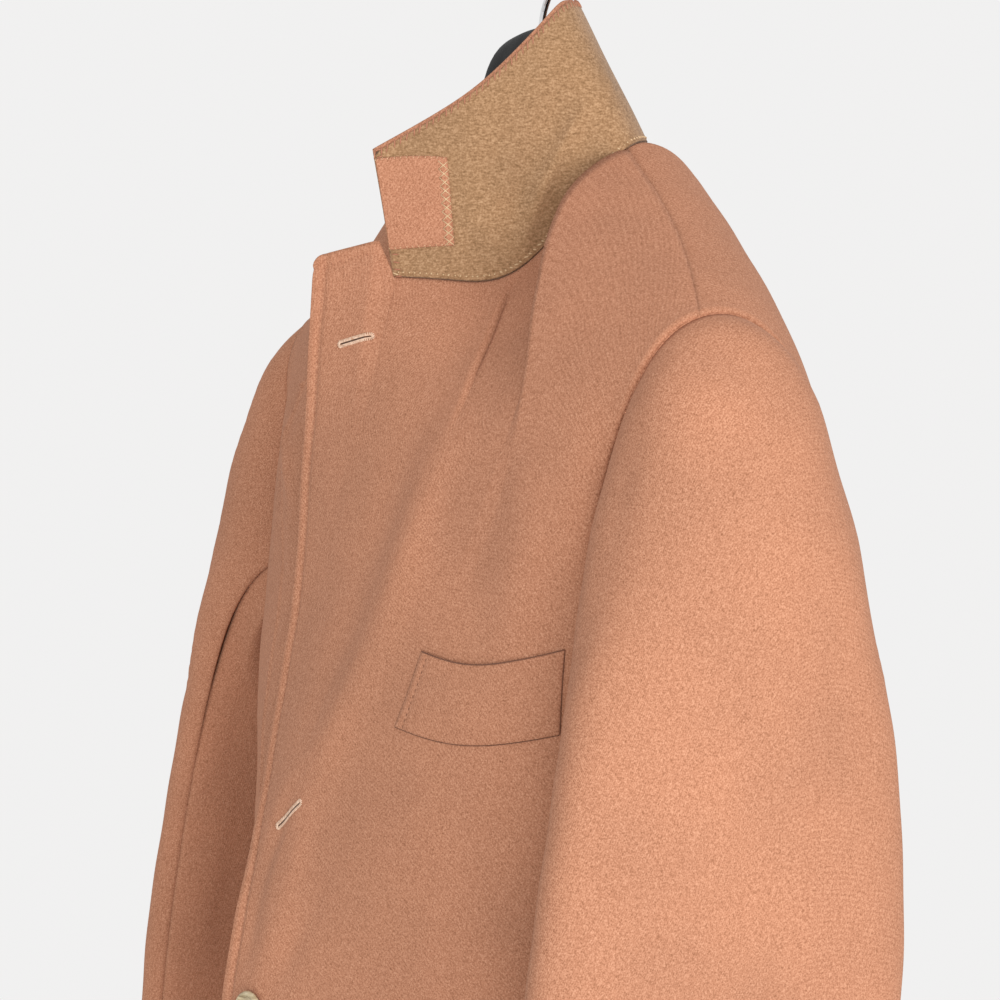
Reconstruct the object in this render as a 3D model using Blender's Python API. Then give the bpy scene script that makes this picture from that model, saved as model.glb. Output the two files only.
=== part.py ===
"""A soft tailored blazer on a wide hanger, modelled panel by panel as cloth walls.

The blazer hangs from the hanger's hook, with the middle button fastened. The wearer's left collar
and lapel are turned up, and the right ones are folded down. The origin is the inside top of the hook,
+Z is up, -Y is the garment's front and +X is the wearer's left.

The tailoring tables are in centimetres. A point is (x, y, h), where h is the depth below the neck
point, the top of the shoulder seam at the collar. world() turns it into metres.
"""

import math

import bmesh
import bpy
import numpy as np

# ---------------------------------------------------------------- driving sizes, in centimetres
HOOK_TO_NECK = 12.5      # inside top of the hook to the neck point
CLOTH = 0.22             # thickness of the body cloth
COLLAR_CLOTH = 0.16      # thickness of the upper collar
FELT = 0.13              # and of the under collar
SEAM = 0.03              # clear gap between two pieces that are sewn together
LAY = 0.03               # clear gap under a piece that lies on a panel
ARMHOLE_H = 24.0         # depth at which the armhole leaves the side seams
ARMHOLE_DIP = 2.6        # how far the underarm lies below that
NECK_POINT = (8.0, 0.4, 0.0)
SHOULDER_MID = (14.9, -0.9, 4.0)
SHOULDER_POINT = (20.5, -3.0, 7.7)
CREASE_SOFTNESS = 1.6    # half width of the soft bend at the lapel's roll line
NECK_SLOPE = (0.0, 1.0, -0.3)       # how the cloth crosses the shoulder seam by the neck, going back,
SHOULDER_SLOPE = (0.0, 1.05, -0.3)  # and at the shoulder point
NECK_TURN = 4.0                     # how soon it rises to the neck seam instead
NAPE_SLOPE = (0.0, -0.4, -1.0)      # how it rises to the centre back of the neck

# Half sections of the body, from the hem up. cb: centre back, blade: shoulder blade,
# back and front: the seams of the side panel, side: the widest point.
BODY_COLUMNS = ("h", "cb_y", "blade_y", "back_x", "back_y", "side_x", "side_y", "front_x", "front_y")
BODY_ROWS = (
    (75.0, 6.8, 7.0, 17.4, 5.2, 20.3, -0.8, 19.0, -7.4),
    (73.0, 6.8, 7.0, 17.4, 5.2, 20.2, -0.8, 18.9, -7.4),
    (69.0, 6.7, 6.9, 17.3, 5.1, 20.0, -0.9, 18.8, -7.4),
    (60.0, 6.3, 6.6, 17.0, 4.9, 19.5, -1.0, 18.4, -7.5),
    (50.0, 5.6, 6.1, 16.5, 4.6, 18.8, -1.2, 17.9, -7.6),
    (41.5, 5.2, 5.8, 16.3, 4.5, 18.6, -1.3, 17.6, -7.7),
    (40.0, 5.25, 5.85, 16.35, 4.5, 18.65, -1.3, 17.6, -7.7),
    (38.5, 5.3, 5.9, 16.45, 4.55, 18.75, -1.3, 17.65, -7.7),
    (32.3, 5.8, 6.4, 17.0, 4.8, 19.4, -1.4, 17.8, -7.7),
    (27.2, 6.3, 6.8, 17.9, 4.9, 20.2, -1.5, 17.9, -7.6),
    (21.3, 6.5, 7.0, 18.6, 4.8, 20.6, -1.5, 17.9, -7.2),
    (13.7, 6.1, 6.4, 19.6, 3.8, 20.8, -1.4, 18.6, -6.1),
)
# The fronts, a row for each row above. chest: halfway from the side panel's seam to the
# roll line, edge: the front edge, fold: from 0, open, to 1, turned back on the chest.
FRONT_COLUMNS = ("chest_y", "roll_x", "roll_y", "edge_x", "edge_y", "fold")
FRONT_ROWS = {
    "left": (
        (-11.6, 12.0, -13.2, 8.6, -14.0, 0.0),
        (-12.1, 8.5, -13.9, 4.6, -14.6, 0.0),
        (-12.5, 5.5, -14.5, 1.8, -15.0, 0.0),
        (-12.8, 3.0, -15.1, -0.5, -15.5, 0.0),
        (-13.0, 1.6, -15.5, -1.6, -16.0, 0.0),
        (-12.9, 1.0, -15.4, -2.0, -16.2, 0.0),
        (-12.8, 1.0, -15.3, -2.0, -16.0, 0.0),
        (-12.7, 1.0, -15.1, -2.1, -15.7, 0.0),
        (-12.0, 1.3, -14.1, -2.5, -14.1, 0.0),
        (-10.9, 3.4, -12.7, -3.3, -12.8, 0.0),
        (-9.6, 5.6, -11.0, -4.0, -11.5, 0.0),
        (-7.9, 8.6, -9.1, -3.2, -11.2, 0.0),
    ),
    "right": (
        (-11.5, 10.4, -13.3, 8.6, -13.6, 0.0),
        (-12.0, 6.6, -13.8, 4.6, -14.0, 0.0),
        (-12.2, 3.6, -14.2, 1.8, -14.4, 0.0),
        (-12.4, 1.0, -14.5, -0.5, -14.6, 0.0),
        (-12.6, -0.4, -14.5, -1.6, -14.6, 0.0),
        (-12.5, -1.0, -14.3, -2.0, -14.4, 0.0),
        (-12.4, -0.6, -13.9, -0.8, -14.7, 0.5),
        (-12.2, -0.2, -13.7, 0.9, -14.3, 1.0),
        (-11.7, 1.3, -12.8, 4.2, -13.3, 1.0),
        (-10.8, 2.3, -11.3, 6.8, -11.9, 1.0),
        (-9.5, 3.1, -9.6, 8.7, -10.3, 1.0),
        (-7.4, 4.0, -6.6, 11.4, -8.8, 1.0),
    ),
}
LAPEL_CORNER = {"left": (-2.0, -11.2, 4.9), "right": (11.8, -7.9, 11.2)}
NOTCH = {"left": (0.6, -9.0, 4.2), "right": (9.6, -7.5, 9.8)}
LAPEL_ROLL = 1.4         # how far a folded lapel stands off before it turns back

# Where the stations lie across a section, as rough lengths from the centre back.
KNOTS = (0.0, 9.0, 19.0, 25.5, 32.5, 41.0, 47.6, 49.2)
NECK_STATION = 7.5       # where the back's neck seam meets its shoulder seam
GORGE_END = 0.6          # how far across the lapel the collar reaches
NOTCH_START = 0.66       # and where the lapel's own top edge starts
STATIONS = {"back": 19.0, "front": 32.5, "neck": 42.2, "roll": 49.2}

# The collar, a row for each section from the left front end round the back to the right:
# the neck seam, the outer edge, and how far the bend between them is pulled up.
COLLAR_COLUMNS = ("neck_x", "neck_y", "neck_h", "edge_x", "edge_y", "edge_h", "rise")
COLLAR_ROWS = {
    "left end": (0.9, -8.3, 5.9, 0.9, -9.4, -0.1, 0.0),
    "left gorge": (3.1, -6.3, 6.1, 2.8, -6.9, -2.4, 0.0),
    "left roll": (5.1, -3.8, 5.6, 4.6, -5.1, -4.3, 0.0),
    "left front": (6.8, -1.1, 2.2, 5.6, -3.0, -6.1, 0.0),
    "left side": (8.0, 0.4, 0.0, 5.4, -1.2, -7.1, 0.0),
    "left back": (5.4, 2.8, -0.4, 3.2, 0.4, -7.4, 0.0),
    "centre back": (0.0, 3.9, -0.3, 0.0, 2.2, -6.9, 0.3),
    "right back": (-5.4, 2.8, -0.4, -5.8, 5.8, -2.0, 4.0),
    "right side": (-8.0, 0.4, 0.0, -11.4, 1.6, 0.5, 5.6),
    "right front": (-6.8, -1.1, 2.2, -12.2, -3.6, 1.9, 5.2),
    "right roll": (-5.1, -3.8, 5.6, -11.8, -5.8, 4.4, 4.2),
    "right gorge": (-7.2, -6.0, 7.8, -12.3, -6.7, 5.9, 1.4),
    "right end": (-9.3, -7.4, 9.5, -12.9, -7.1, 6.6, 0.2),
}

BEND_SHARE = 0.2         # how near to the neck seam that bend is

# Sleeve rings below the armhole: the centre of each sleeve, half width front to back, half
# thickness, and how much lower the ring's front lies than its back, for each centimetre.
SLEEVE_COLUMNS = ("h", "left_x", "left_y", "right_x", "right_y", "wide", "thick", "tilt")
SLEEVE_ROWS = (
    (28.5, 23.6, -3.3, 22.7, -2.1, 8.1, 2.5, 0.0),
    (35.3, 24.0, -3.95, 23.4, -2.8, 8.8, 2.2, 0.0),
    (45.0, 24.3, -4.8, 24.0, -4.4, 8.4, 2.2, 0.05),
    (57.0, 24.4, -6.6, 24.2, -6.2, 7.5, 2.3, 0.12),
    (68.0, 24.3, -8.8, 24.2, -8.4, 6.7, 2.2, 0.18),
)
CAP_DROP = 0.2           # how steeply the sleeve leaves the shoulder
CAP_PUSH = 0.8           # how full its cap is
FRONT_FLARE = 0.9        # how far it swells to the front there
BACK_FLARE = -0.15       # and to the back

# The hanger, a row for each section from the middle out: centre line, height of the top
# edge, thickness front to back and height.
HANGER_COLUMNS = ("x", "y", "top", "thick", "tall")
HANGER_ROWS = (
    (0.0, 0.0, -5.9, 2.2, 3.9),
    (2.4, 0.0, -5.7, 2.3, 3.8),
    (4.2, 0.0, -4.6, 2.4, 3.6),
    (5.6, 0.5, -1.9, 2.3, 3.8),
    (7.2, 0.9, 0.9, 2.2, 3.3),
    (9.0, 1.1, 0.75, 2.4, 3.2),
    (10.5, 0.7, 1.62, 2.6, 3.1),
    (12.5, 0.2, 2.82, 2.9, 3.0),
    (14.5, -0.4, 4.0, 3.2, 3.0),
    (16.5, -0.9, 5.3, 3.5, 3.0),
    (18.0, -1.4, 6.15, 3.6, 3.2),
    (19.0, -1.8, 7.0, 3.2, 2.6),
    (19.5, -2.0, 8.0, 1.8, 1.2),
)
HOOK_RADIUS = 2.4        # of the wire's centre line
HOOK_WIRE = 0.34         # thickness of the wire
HOOK_START = -48.0       # degrees round the hook's circle where the stem runs into it
HOOK_END = 205.0         # and where the wire ends

BUTTON = 2.0             # diameter
# Its profile, from the back: share of the radius, and height in centimetres.
BUTTON_PROFILE = ((0.62, 0.0), (0.9, 0.05), (1.0, 0.16), (0.97, 0.28), (0.9, 0.36), (0.8, 0.33),
                  (0.7, 0.24), (0.35, 0.22))

# The breast pocket's welt: front stations of its ends, and depths of its corners and middle.
WELT_ENDS = (33.8, 44.9)
WELT_TOP = (22.5, 23.4, 22.8)
WELT_BOTTOM = (26.0, 26.8, 26.3)
WELT_LEAN = 0.8          # how far its top is shifted outwards
WELT_THICK = 0.2
# The end of the upper collar, turned to the felt side: collar rows and shares of the fall.
TAB_ROWS = (0.02, 1.1)
TAB_FALL = (0.27, 0.97)
TAB_THICK = 0.12
# Each button: the front it lies on, the share of the way from roll line to edge, the depth and
# the clear height under it.
BUTTONS = {
    "button_top": ("right", 0.72, 30.8, 0.12),
    "button_middle": ("left", 0.33, 41.5, 0.03),
    "button_bottom": ("right", 0.0, 51.1, 0.05),
}

# ---------------------------------------------------------------- numbers of cells
SHOULDER_CELLS = 4
NECK_CELLS = 4           # in each eighth of the collar, so that both sides of its seam agree
SIDE_CELLS = 4
LAPEL_TOP_CELLS = 2
ROW_DEPTHS = (75.0, 73.8, 72.0, 69.0, 65.0, 60.0, 55.0, 50.0, 45.5, 42.6, 41.2, 40.2,
              39.2, 38.0, 35.5, 33.0, 30.0, 27.2, ARMHOLE_H)
ARMHOLE_DEPTHS = (21.3, 18.6, 16.0, 13.7)
TOP_SHARES = (0.3, 0.6, 0.83, 1.0)
CAP_STOPS = (0.0, 0.12, 0.27, 0.45, 0.65, 0.84)
ARM_STOPS = (0.0, 0.1, 0.22, 0.34, 0.46, 0.6, 0.74, 0.88, 1.0)
FALL_STOPS = (0.0, 0.12, 0.27, 0.42, 0.57, 0.72, 0.87, 1.0)


def world(points):
    """Tailoring points (x, y, h) in centimetres as (x, y, z) in metres below the hook."""
    points = np.asarray(points, float)
    return np.stack([points[..., 0], points[..., 1], -HOOK_TO_NECK - points[..., 2]], -1) / 100


def spline(knots, values, start=None, end=None):
    """A cubic spline through the values; an end without a slope is left free to straighten."""
    knots = np.asarray(knots, float)
    values = np.asarray(values, float)
    n = len(knots)
    steps = np.diff(knots)
    rises = np.diff(values, axis=0) / steps[:, None]
    matrix = np.zeros((n, n))
    right = np.zeros_like(values)
    for i in range(1, n - 1):
        matrix[i, i - 1 : i + 2] = steps[i - 1], 2 * (steps[i - 1] + steps[i]), steps[i]
        right[i] = 6 * (rises[i] - rises[i - 1])
    if start is None:
        matrix[0, 0] = 1
    else:
        matrix[0, :2] = 2 * steps[0], steps[0]
        right[0] = 6 * (rises[0] - start)
    if end is None:
        matrix[-1, -1] = 1
    else:
        matrix[-1, -2:] = steps[-1], 2 * steps[-1]
        right[-1] = 6 * (end - rises[-1])
    bends = np.linalg.solve(matrix, right)

    def at(x):
        x = np.atleast_1d(np.asarray(x, float))
        i = np.clip(np.searchsorted(knots, x) - 1, 0, n - 2)
        step = steps[i][:, None]
        a = (knots[i + 1] - x)[:, None] / step
        b = 1 - a
        curve = (a**3 - a) * bends[i] + (b**3 - b) * bends[i + 1]
        return a * values[i] + b * values[i + 1] + curve * step**2 / 6

    return at


def bezier(p0, p1, p2, p3, t):
    """Points of a cubic curve; each point may be an array of points."""
    t = np.asarray(t, float)[..., None]
    return (1 - t) ** 3 * p0 + 3 * (1 - t) ** 2 * t * p1 + 3 * (1 - t) * t**2 * p2 + t**3 * p3


def named(columns, row):
    return dict(zip(columns, row))


BODY = [named(BODY_COLUMNS, row) for row in BODY_ROWS]
FRONTS = {side: [named(FRONT_COLUMNS, row) for row in rows] for side, rows in FRONT_ROWS.items()}
COLLAR = {name: named(COLLAR_COLUMNS, row) for name, row in COLLAR_ROWS.items()}
SLEEVE = [named(SLEEVE_COLUMNS, row) for row in SLEEVE_ROWS]


# ---------------------------------------------------------------- the body's sections
def half_section(index, side):
    """A spline across one body section, from centre back to roll line, in mirrored x."""
    row = BODY[index]
    front = FRONTS[side][index]
    chest = np.array([(row["front_x"] + front["roll_x"]) / 2, front["chest_y"]])
    roll = np.array([front["roll_x"], front["roll_y"]])
    before = roll + (chest - roll) * CREASE_SOFTNESS / np.linalg.norm(chest - roll)
    points = [
        (0.0, row["cb_y"]), (0.5 * row["back_x"], row["blade_y"]), (row["back_x"], row["back_y"]),
        (row["side_x"], row["side_y"]), (row["front_x"], row["front_y"]), chest, before, roll,
    ]
    return spline(KNOTS, points, start=np.array([1.0, 0.0]))


def section_points(index, side, across, lapel):
    """Points of one section: `across` holds station values, `lapel` shares of the lapel."""
    front = FRONTS[side][index]
    section = half_section(index, side)
    body = section(across)
    roll = section(STATIONS["roll"])[0]
    ahead = section(STATIONS["roll"])[0] - section(STATIONS["roll"] - 0.5)[0]
    ahead = ahead / np.linalg.norm(ahead)
    end = np.array([front["edge_x"], front["edge_y"]])
    fold = front["fold"]
    wide = np.linalg.norm(end - roll)
    out = ahead * ((1 - fold) * wide / 3 + fold * min(wide, LAPEL_ROLL))
    back = (1 - fold) * (roll - end) / 3 + fold * wide * np.array([-0.55, -0.18])
    strip = bezier(roll, roll + out, end + back, end, lapel)
    points = np.concatenate([body, strip])
    return np.column_stack([points, np.full(len(points), BODY[index]["h"])])


def neck_line(along):
    """The neck seam: `along` counts the collar's rows from the left end to the right end."""
    rows = [[row["neck_x"], row["neck_y"], row["neck_h"]] for row in COLLAR.values()]
    return spline(np.arange(len(rows)), rows)(along)


def side_neck(side, along):
    """The neck seam of one side, in mirrored x; `along` counts the rows from that side's end."""
    point = neck_line(along if side == "left" else len(COLLAR) - 1 - along)[0]
    return point * np.array([1 if side == "left" else -1, 1, 1])


def shoulder_line(out):
    """The shoulder seam, from 0 at the neck point to 1 at the shoulder point."""
    return spline([0.0, 0.5, 1.0], [NECK_POINT, SHOULDER_MID, SHOULDER_POINT])(out)[0]


def shoulder_slope(out):
    """The direction in which the cloth crosses the shoulder seam, going back."""
    return (1 - out) * np.array(NECK_SLOPE) + out * np.array(SHOULDER_SLOPE)


def front_top(side, across, lapel):
    """The front panel's upper edge: shoulder seam, neck seam, gorge, notch and lapel top."""
    points = []
    for u in across:
        share = (u - STATIONS["neck"]) / (STATIONS["roll"] - STATIONS["neck"])
        out = (STATIONS["neck"] - u) / (STATIONS["neck"] - STATIONS["front"])
        points.append(shoulder_line(out) if share <= 0 else side_neck(side, 4 - 2 * share))
    notch = np.array(NOTCH[side])
    corner = np.array(LAPEL_CORNER[side])
    for w in lapel:
        if w <= GORGE_END:
            points.append(side_neck(side, 2 - 2 * w / GORGE_END))
        else:
            points.append(notch + (corner - notch) * (w - NOTCH_START) / (1 - NOTCH_START))
    return np.array(points)


def back_top(side, across):
    """The back panel's upper edge: neck seam from the centre back, then the shoulder seam."""
    points = []
    for u in across:
        out = (u - NECK_STATION) / (STATIONS["back"] - NECK_STATION)
        points.append(shoulder_line(out) if out >= 0 else side_neck(side, 6 - 2 * u / NECK_STATION))
    return np.array(points)


def panel(side, across, lapel, tops, slopes, depths, shares):
    """A grid of points: one row for each depth, then one for each share of the way to the top."""
    rows = np.array([section_points(i, side, across, lapel) for i in range(len(BODY))])
    top_row = BODY[-1]["h"]
    grid = []
    for j in range(rows.shape[1]):
        column = np.vstack([rows[:, j], tops[j]])
        reach = np.linalg.norm(tops[j] - rows[-1, j])
        knots = [-row["h"] for row in BODY] + [reach - top_row]
        curve = spline(knots, column, end=slopes[j])
        stops = [-depth for depth in depths] + [share * reach - top_row for share in shares]
        grid.append(curve(stops))
    return np.array(grid).transpose(1, 0, 2)


def front_grid(side, across, lapel, depths, shares):
    tops = front_top(side, across, lapel)
    chest = section_points(len(BODY) - 1, side, across, [])
    slopes = []
    for u, low, top in zip(across, chest, tops):
        out = (STATIONS["neck"] - u) / (STATIONS["neck"] - STATIONS["front"])
        turn = np.clip(NECK_TURN * (u - STATIONS["neck"]) / (STATIONS["roll"] - STATIONS["neck"]), 0, 1)
        rise = (top - low) / np.linalg.norm(top - low)
        slopes.append((1 - turn) * shoulder_slope(max(0.0, out)) + turn * rise)
    return panel(side, across, lapel, tops, slopes + [None] * len(lapel), depths, shares)


def back_grid(side, across, depths, shares):
    slopes = []
    for u in across:
        out = (u - NECK_STATION) / (STATIONS["back"] - NECK_STATION)
        turn = min(1.0, u / NECK_STATION)
        slopes.append((1 - turn) * np.array(NAPE_SLOPE) - turn * shoulder_slope(max(0.0, out)))
    return panel(side, across, [], back_top(side, across), slopes, depths, shares)


def armhole_depth(u):
    """How deep the armhole lies where it crosses the side panel."""
    share = (u - STATIONS["back"]) / (STATIONS["front"] - STATIONS["back"])
    return ARMHOLE_H + ARMHOLE_DIP * math.sin(math.pi * share)


def side_grid(side, across, depths):
    """The side panel; each of its columns stops at the armhole."""
    columns = []
    for u in across:
        turn = (u - STATIONS["back"]) / (STATIONS["front"] - STATIONS["back"])
        share = (armhole_depth(u) - depths[0]) / (depths[-1] - depths[0])
        own = [depths[0] + (depth - depths[0]) * share for depth in depths]
        slope = shoulder_slope(1) * (2 * turn - 1) - np.array([0.0, 0.0, math.sin(math.pi * turn)])
        columns.append(panel(side, [u], [], [np.array(SHOULDER_POINT)], [slope], own, [])[:, 0])
    return np.array(columns).transpose(1, 0, 2)


# ---------------------------------------------------------------- the sleeves
def ring(row, side, shares):
    """Points round one sleeve ring, evenly spaced from its outermost point by the front."""
    turn = np.linspace(0, 2 * math.pi, 361)
    power = 2 / 2.4
    x = row[side + "_x"] + row["thick"] * np.sign(np.cos(turn)) * np.abs(np.cos(turn)) ** power
    y = row[side + "_y"] - row["wide"] * np.sign(np.sin(turn)) * np.abs(np.sin(turn)) ** power
    h = row["h"] - row["tilt"] * (y - row[side + "_y"])
    loop = np.column_stack([x, y, h])
    length = np.concatenate([[0], np.cumsum(np.linalg.norm(np.diff(loop, axis=0), axis=1))])
    at = np.asarray(shares) * length[-1]
    return np.column_stack([np.interp(at, length, loop[:, k]) for k in range(3)])


def loop_shares(loop):
    closed = np.vstack([loop, loop[:1]])
    length = np.concatenate([[0], np.cumsum(np.linalg.norm(np.diff(closed, axis=0), axis=1))])
    return length[:-1] / length[-1]


def sleeve_grid(loop, side, cap_stops, stops):
    """Rows of points from the armhole loop down to the cuff, a column for each loop point."""
    shares = loop_shares(loop)
    rings = [ring(row, side, shares) for row in SLEEVE]
    centre = loop.mean(axis=0)
    columns = []
    for i, start in enumerate(loop):
        radial = start - centre
        radial = radial / np.linalg.norm(radial)
        flare = FRONT_FLARE if radial[1] < 0 else BACK_FLARE
        below = max(0.0, radial[2])
        slope = np.array([1.0 - 0.2 * below, flare * radial[1], CAP_DROP + 0.5 * below])
        slope = CAP_PUSH * slope / np.linalg.norm(slope)
        points = [start] + [r[i] for r in rings]
        steps = [np.linalg.norm(b - a) for a, b in zip(points, points[1:])]
        knots = np.concatenate([[0], np.cumsum(steps)])
        curve = spline(knots, points, start=slope)
        cap = [knots[1] * stop for stop in cap_stops]
        rest = [knots[1] + (knots[-1] - knots[1]) * stop for stop in stops]
        columns.append(curve(cap + rest))
    return np.array(columns).transpose(1, 0, 2)


# ---------------------------------------------------------------- the collar
def collar_grid(along, across):
    """The collar's middle surface: `along` counts the rows, `across` runs from neck to edge."""
    rows = list(COLLAR.values())
    neck = neck_line(np.arange(len(rows)))
    edge = np.array([[row["edge_x"], row["edge_y"], row["edge_h"]] for row in rows])
    bend = neck + BEND_SHARE * (edge - neck) - np.array([[0, 0, row["rise"]] for row in rows])
    bends = spline(np.arange(len(rows)), bend)(along)
    edges = spline(np.arange(len(rows)), edge)(along)
    necks = neck_line(along)
    parts = (necks, (necks + 2 * bends) / 3, (edges + 2 * bends) / 3, edges)
    return np.array([bezier(*parts, np.full(len(along), t)) for t in across])


# ---------------------------------------------------------------- walls
def normals_of(grid, closed=False):
    """Unit normals of a grid of points; a closed grid's last column repeats its first."""
    across = np.gradient(grid, axis=1)
    if closed:
        across[:, 0] = across[:, -1] = (grid[:, 1] - grid[:, -2]) / 2
    normal = np.cross(across, np.gradient(grid, axis=0))
    return normal / np.linalg.norm(normal, axis=-1, keepdims=True)


def share_normals(pieces):
    """Gives the points that pieces have in common one normal, so that their rims match."""
    found = {}
    for piece in pieces:
        for at in np.ndindex(piece["grid"].shape[:2]):
            key = tuple(np.round(piece["grid"][at] * 50).astype(int))
            found.setdefault(key, []).append((piece, at))
    for group in found.values():
        total = sum(piece["normals"][at] for piece, at in group)
        for piece, at in group:
            piece["normals"][at] = total / np.linalg.norm(total)


def pull_in(grid, sides, distance=SEAM / 2):
    """Moves the named edges of a grid inwards along its surface."""
    moved = grid.copy()
    views = {"first": moved, "last": moved[::-1], "start": moved.transpose(1, 0, 2),
             "end": moved[:, ::-1].transpose(1, 0, 2)}
    for side in sides:
        step = views[side][1] - views[side][0]
        views[side][0] += step / np.linalg.norm(step, axis=-1, keepdims=True) * distance
    return moved


def material(name, colour, roughness, metallic=0.0):
    made = bpy.data.materials.new(name)
    made.use_nodes = True
    shader = made.node_tree.nodes["Principled BSDF"]
    shader.inputs["Base Color"].default_value = (*colour, 1.0)
    shader.inputs["Roughness"].default_value = roughness
    shader.inputs["Metallic"].default_value = metallic
    return made


def solid(name, points, faces, finish):
    """One closed object from tailoring points, facing outwards."""
    mesh = bpy.data.meshes.new(name)
    mesh.from_pydata(world(points).tolist(), [], [[int(i) for i in face] for face in faces])
    shape = bmesh.new()
    shape.from_mesh(mesh)
    if shape.calc_volume(signed=True) < 0:
        bmesh.ops.reverse_faces(shape, faces=shape.faces)
    shape.to_mesh(mesh)
    shape.free()
    mesh.materials.append(finish)
    mesh.shade_smooth()
    mesh.set_sharp_from_angle(angle=math.radians(50))
    made = bpy.data.objects.new(name, mesh)
    bpy.context.scene.collection.objects.link(made)
    return made


def wall(name, grid, normals, low, high, finish):
    """A closed wall between two offsets of a grid."""
    rows, columns = grid.shape[:2]
    count = rows * columns
    points = np.concatenate([(grid + normals * low).reshape(-1, 3), (grid + normals * high).reshape(-1, 3)])
    index = np.arange(count).reshape(rows, columns)
    faces = []
    for r in range(rows - 1):
        for c in range(columns - 1):
            here, right = index[r, c], index[r, c + 1]
            above, across = index[r + 1, c], index[r + 1, c + 1]
            first = np.linalg.norm(grid[r, c] - grid[r + 1, c + 1])
            second = np.linalg.norm(grid[r, c + 1] - grid[r + 1, c])
            if first < second:
                halves = [[here, right, across], [here, across, above]]
            else:
                halves = [[here, right, above], [right, across, above]]
            faces += [half[::-1] for half in halves] + [[q + count for q in half] for half in halves]
    rim = np.concatenate([index[0, :-1], index[:-1, -1], index[-1, :0:-1], index[:0:-1, 0]])
    for here, after in zip(rim, np.roll(rim, -1)):
        if tuple(points[here]) < tuple(points[after]):
            faces += [[here, after, after + count], [here, after + count, here + count]]
        else:
            faces += [[here, after, here + count], [after, after + count, here + count]]
    return solid(name, points, faces, finish)


def tube(name, rings, finish):
    """A closed solid through rings of points, with a flat cap at each end."""
    rings = np.asarray(rings)
    count, around = rings.shape[:2]
    index = np.arange(count * around).reshape(count, around)
    faces = [[index[r, c], index[r, (c + 1) % around], index[r + 1, (c + 1) % around], index[r + 1, c]]
             for r in range(count - 1) for c in range(around)]
    faces += [list(index[0][::-1]), list(index[-1])]
    return solid(name, rings.reshape(-1, 3), faces, finish)


# ---------------------------------------------------------------- the pieces
def clear_scene():
    for found in list(bpy.data.objects):
        bpy.data.objects.remove(found)


def piece(name, grid, normals, seams):
    return {"name": name, "grid": grid, "normals": normals, "seams": seams}


def body_pieces(side):
    """The front, side and back panels and the sleeve pieces of one side."""
    depths = list(ROW_DEPTHS) + list(ARMHOLE_DEPTHS)
    shoulder = np.linspace(1, 0, SHOULDER_CELLS + 1)
    neck = np.linspace(0, 1, NECK_CELLS + 1)[1:]
    wide = STATIONS["neck"] - STATIONS["front"]
    front_stops = np.concatenate([STATIONS["neck"] - wide * shoulder,
                                  STATIONS["neck"] + (STATIONS["roll"] - STATIONS["neck"]) * neck])
    lapel_stops = np.concatenate([GORGE_END * neck, np.linspace(NOTCH_START, 1, LAPEL_TOP_CELLS + 1)])
    wide = STATIONS["back"] - NECK_STATION
    back_stops = np.concatenate([NECK_STATION * (1 - neck[::-1]), NECK_STATION + wide * shoulder[::-1]])
    side_stops = np.linspace(STATIONS["back"], STATIONS["front"], SIDE_CELLS + 1)
    front = front_grid(side, front_stops, lapel_stops, depths, TOP_SHARES)
    middle = side_grid(side, side_stops, list(ROW_DEPTHS))
    back = back_grid(side, back_stops, depths, TOP_SHARES)
    rows = len(ROW_DEPTHS)
    loop = np.concatenate([front[: rows - 1 : -1, 0], middle[-1, ::-1], back[rows:-1, -1]])
    tube_grid = sleeve_grid(loop, side, CAP_STOPS, ARM_STOPS)
    closed = np.concatenate([tube_grid, tube_grid[:, :1]], axis=1)
    normals = -normals_of(closed, closed=True)
    count = len(loop)
    inseam = count // 2 - 1 - SIDE_CELLS // 2
    hindarm = count - len(TOP_SHARES) - 2
    top = [i % count for i in range(hindarm, count + inseam + 1)]
    under = list(range(inseam, hindarm + 1))
    pieces = [
        piece(f"front_{side}", front, normals_of(front), ["start", "last"]),
        piece(f"side_{side}", middle, normals_of(middle), ["start", "end", "last"]),
        piece(f"back_{side}", back, normals_of(back), ["start", "end", "last"]),
        piece(f"sleeve_top_{side}", tube_grid[:, top], normals[:, top], ["start", "end", "first"]),
        piece(f"sleeve_under_{side}", tube_grid[:, under], normals[:, under], ["start", "end", "first"]),
    ]
    if side == "right":
        for made in pieces:
            made["grid"] = made["grid"] * [-1, 1, 1]
            made["normals"] = made["normals"] * [-1, 1, 1]
    return pieces


def collar_piece():
    """The collar's middle surface, with a column for each column of the neck seam."""
    along = np.linspace(0, len(COLLAR) - 1, (len(COLLAR) - 1) * NECK_CELLS // 2 + 1)
    grid = collar_grid(along, FALL_STOPS)
    return piece("collar", grid, -normals_of(grid), ["first"])


def cloth_pieces():
    made = body_pieces("left") + body_pieces("right") + [collar_piece()]
    share_normals(made)
    return {one["name"]: one for one in made}


def lay(name, grid, normals, base, thick, finish):
    """A piece that lies on a panel, `base` above the middle of the panel's cloth."""
    return wall(name, grid, normals, base + LAY, base + LAY + thick, finish)


def welt(cloth):
    """The boat-shaped welt of the breast pocket, on the left front."""
    ends = np.linspace(*WELT_ENDS, 9)
    top = spline([0.0, 0.5, 1.0], np.array(WELT_TOP)[:, None])
    bottom = spline([0.0, 0.5, 1.0], np.array(WELT_BOTTOM)[:, None])
    depths = [np.linspace(bottom(t)[0, 0], top(t)[0, 0], 5) for t in np.linspace(0, 1, 9)]
    lean = np.linspace(0, 1, 5) * WELT_LEAN
    columns = [[front_grid("left", [u - shift], [], [h], [])[0, 0] for shift, h in zip(lean, rows)]
               for u, rows in zip(ends, depths)]
    grid = np.array(columns).transpose(1, 0, 2)
    lay("welt_chest", grid, normals_of(grid), CLOTH / 2, WELT_THICK, cloth)


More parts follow.
